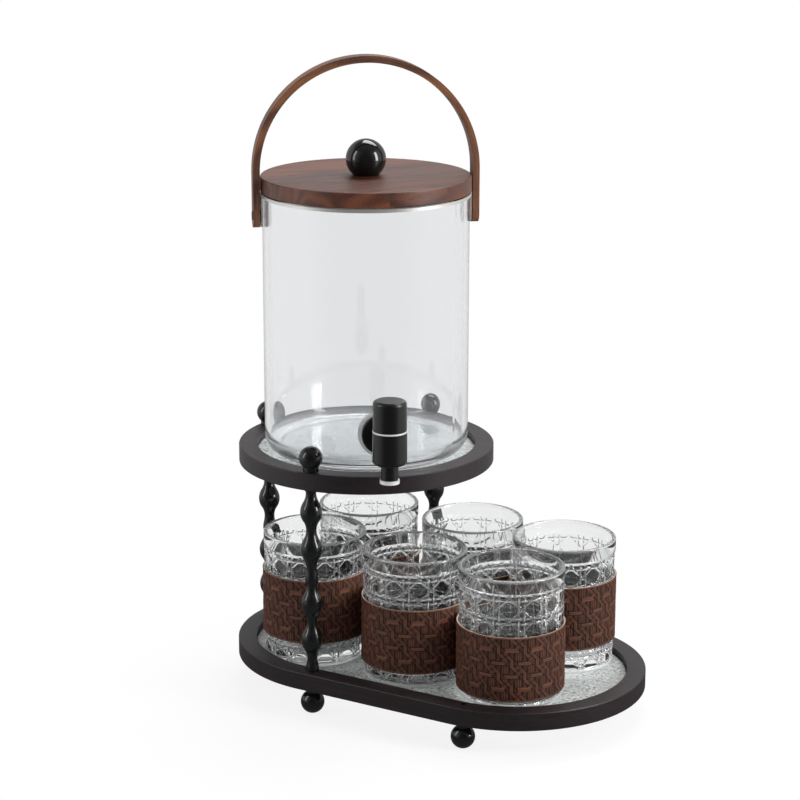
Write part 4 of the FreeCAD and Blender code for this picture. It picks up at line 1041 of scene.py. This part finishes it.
class DISPENSER_OT_jar(bpy.types.Operator):
    """Finish the jar's glass, the steel hoop with its screws, and the washers"""

    bl_idname = "dispenser.jar"
    bl_label = "Finish the jar"

    def execute(self, context):
        settings = context.scene.dispenser_fittings
        coat(blown_glass(settings), "jar_glass")
        steel = finished_metal("Stainless steel, bead-blasted", settings.hoop, 0.3, 0.8)
        coat(steel, "handle_hoop")
        coat(finished_metal("Steel, black oxide", settings.screw, 0.3), "handle_pivot_screws")
        nylon = moulded_plastic("Nylon, moulded black", settings.washer, 0.5, 0.4 * MM)
        coat(nylon, "handle_washers")
        return {"FINISHED"}


class DISPENSER_OT_handle(bpy.types.Operator):
    """Finish the bent handle"""

    bl_idname = "dispenser.handle"
    bl_label = "Finish the handle"

    def execute(self, context):
        coat(bent_walnut(context.scene.dispenser_wood), "handle_bow")
        return {"FINISHED"}


class DISPENSER_OT_lid(bpy.types.Operator):
    """Finish the lid, its step, seal, knob and screw"""

    bl_idname = "dispenser.lid"
    bl_label = "Finish the lid"

    def execute(self, context):
        coat(glued_walnut(context.scene.dispenser_wood), "lid_disc", "lid_spigot")
        coat(bpy.data.materials["Turned beech, black gloss lacquer"], "lid_knob")
        coat(silicone_rubber(context.scene.dispenser_fittings), "lid_seal")
        coat(bpy.data.materials["Stainless steel, bead-blasted"], "lid_knob_screw")
        return {"FINISHED"}


class DISPENSER_OT_tap(bpy.types.Operator):
    """Finish the tap, its rings and its gaskets"""

    bl_idname = "dispenser.tap"
    bl_label = "Finish the tap"

    def execute(self, context):
        settings = context.scene.dispenser_fittings
        plastic = moulded_plastic("ABS, moulded satin black", settings.plastic, 0.3, 0.3 * MM)
        black = ("flange", "shank", "body", "knob", "valve_core", "lock_nut")
        coat(plastic, *[f"tap_{part}" for part in black])
        rings = finished_metal("Aluminium, bead-blasted", settings.ring, 0.4, 0.3)
        coat(rings, "tap_outlet_ring", "tap_collar_ring")
        rubber = bpy.data.materials["Silicone, moulded"]
        coat(rubber, "tap_outer_gasket", "tap_inner_gasket", "tap_o_rings")
        coat(bpy.data.materials["Stainless steel, bead-blasted"], "tap_knob_screw")
        return {"FINISHED"}


class DISPENSER_OT_tumblers(bpy.types.Operator):
    """Press the six tumblers with their cane pattern"""

    bl_idname = "dispenser.tumblers"
    bl_label = "Press the tumblers"

    def execute(self, context):
        settings = context.scene.dispenser_glass
        mesh = tumbler_mesh(settings)
        mesh.materials.append(pressed_glass(settings))
        for number in TUMBLERS:
            node = f"tumbler_{number}"
            turned = copy_at(mesh, node, 37.0 * number)
            put(f"pressed_tumbler_{number}", turned, node, node)
        return {"FINISHED"}


class DISPENSER_OT_sleeves(bpy.types.Operator):
    """Emboss the six leather sleeves"""

    bl_idname = "dispenser.sleeves"
    bl_label = "Emboss the sleeves"

    def execute(self, context):
        settings = context.scene.dispenser_leather
        mesh = sleeve_mesh(settings)
        mesh.materials.append(embossed_leather(settings))
        mesh.materials.append(raw_leather("Cowhide, cut edge", settings.edge))
        # the third material gives the inside face a near-black colour
        mesh.materials.append(raw_leather("Cowhide, near-black flesh side", settings.flesh))
        for number in TUMBLERS:
            node = f"sleeve_{number}"
            turned = copy_at(mesh, node, 53.0 * number)
            put(f"leather_sleeve_{number}", turned, node, node)
        return {"FINISHED"}


SETTINGS = {
    "dispenser_stand": StandSettings,
    "dispenser_wood": WoodSettings,
    "dispenser_glass": GlassSettings,
    "dispenser_leather": LeatherSettings,
    "dispenser_fittings": FittingSettings,
    "dispenser_stage": StageSettings,
}
OPERATORS = (
    DISPENSER_OT_stage,
    DISPENSER_OT_stand,
    DISPENSER_OT_plates,
    DISPENSER_OT_jar,
    DISPENSER_OT_handle,
    DISPENSER_OT_lid,
    DISPENSER_OT_tap,
    DISPENSER_OT_tumblers,
    DISPENSER_OT_sleeves,
)


class DISPENSER_PT_panel(bpy.types.Panel):
    """Settings and steps of the cocktail dispenser"""

    bl_idname = "DISPENSER_PT_panel"
    bl_label = "Cocktail dispenser"
    bl_space_type = "VIEW_3D"
    bl_region_type = "UI"
    bl_category = "Dispenser"

    def draw(self, context):
        for name, group in SETTINGS.items():
            box = self.layout.box()
            for setting in group.__annotations__:
                box.prop(getattr(context.scene, name), setting)
        for operator in OPERATORS:
            self.layout.operator(operator.bl_idname)


def register():
    for kind in (*SETTINGS.values(), *OPERATORS, DISPENSER_PT_panel):
        bpy.utils.register_class(kind)
    for name, group in SETTINGS.items():
        setattr(bpy.types.Scene, name, bpy.props.PointerProperty(type=group))


def unregister():
    for name in SETTINGS:
        delattr(bpy.types.Scene, name)
    for kind in reversed((*SETTINGS.values(), *OPERATORS, DISPENSER_PT_panel)):
        bpy.utils.unregister_class(kind)


def main():
    register()
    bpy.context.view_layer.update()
    for operator in OPERATORS:
        group, name = operator.bl_idname.split(".")
        getattr(getattr(bpy.ops, group), name)()


if __name__ == "__main__":
    main()
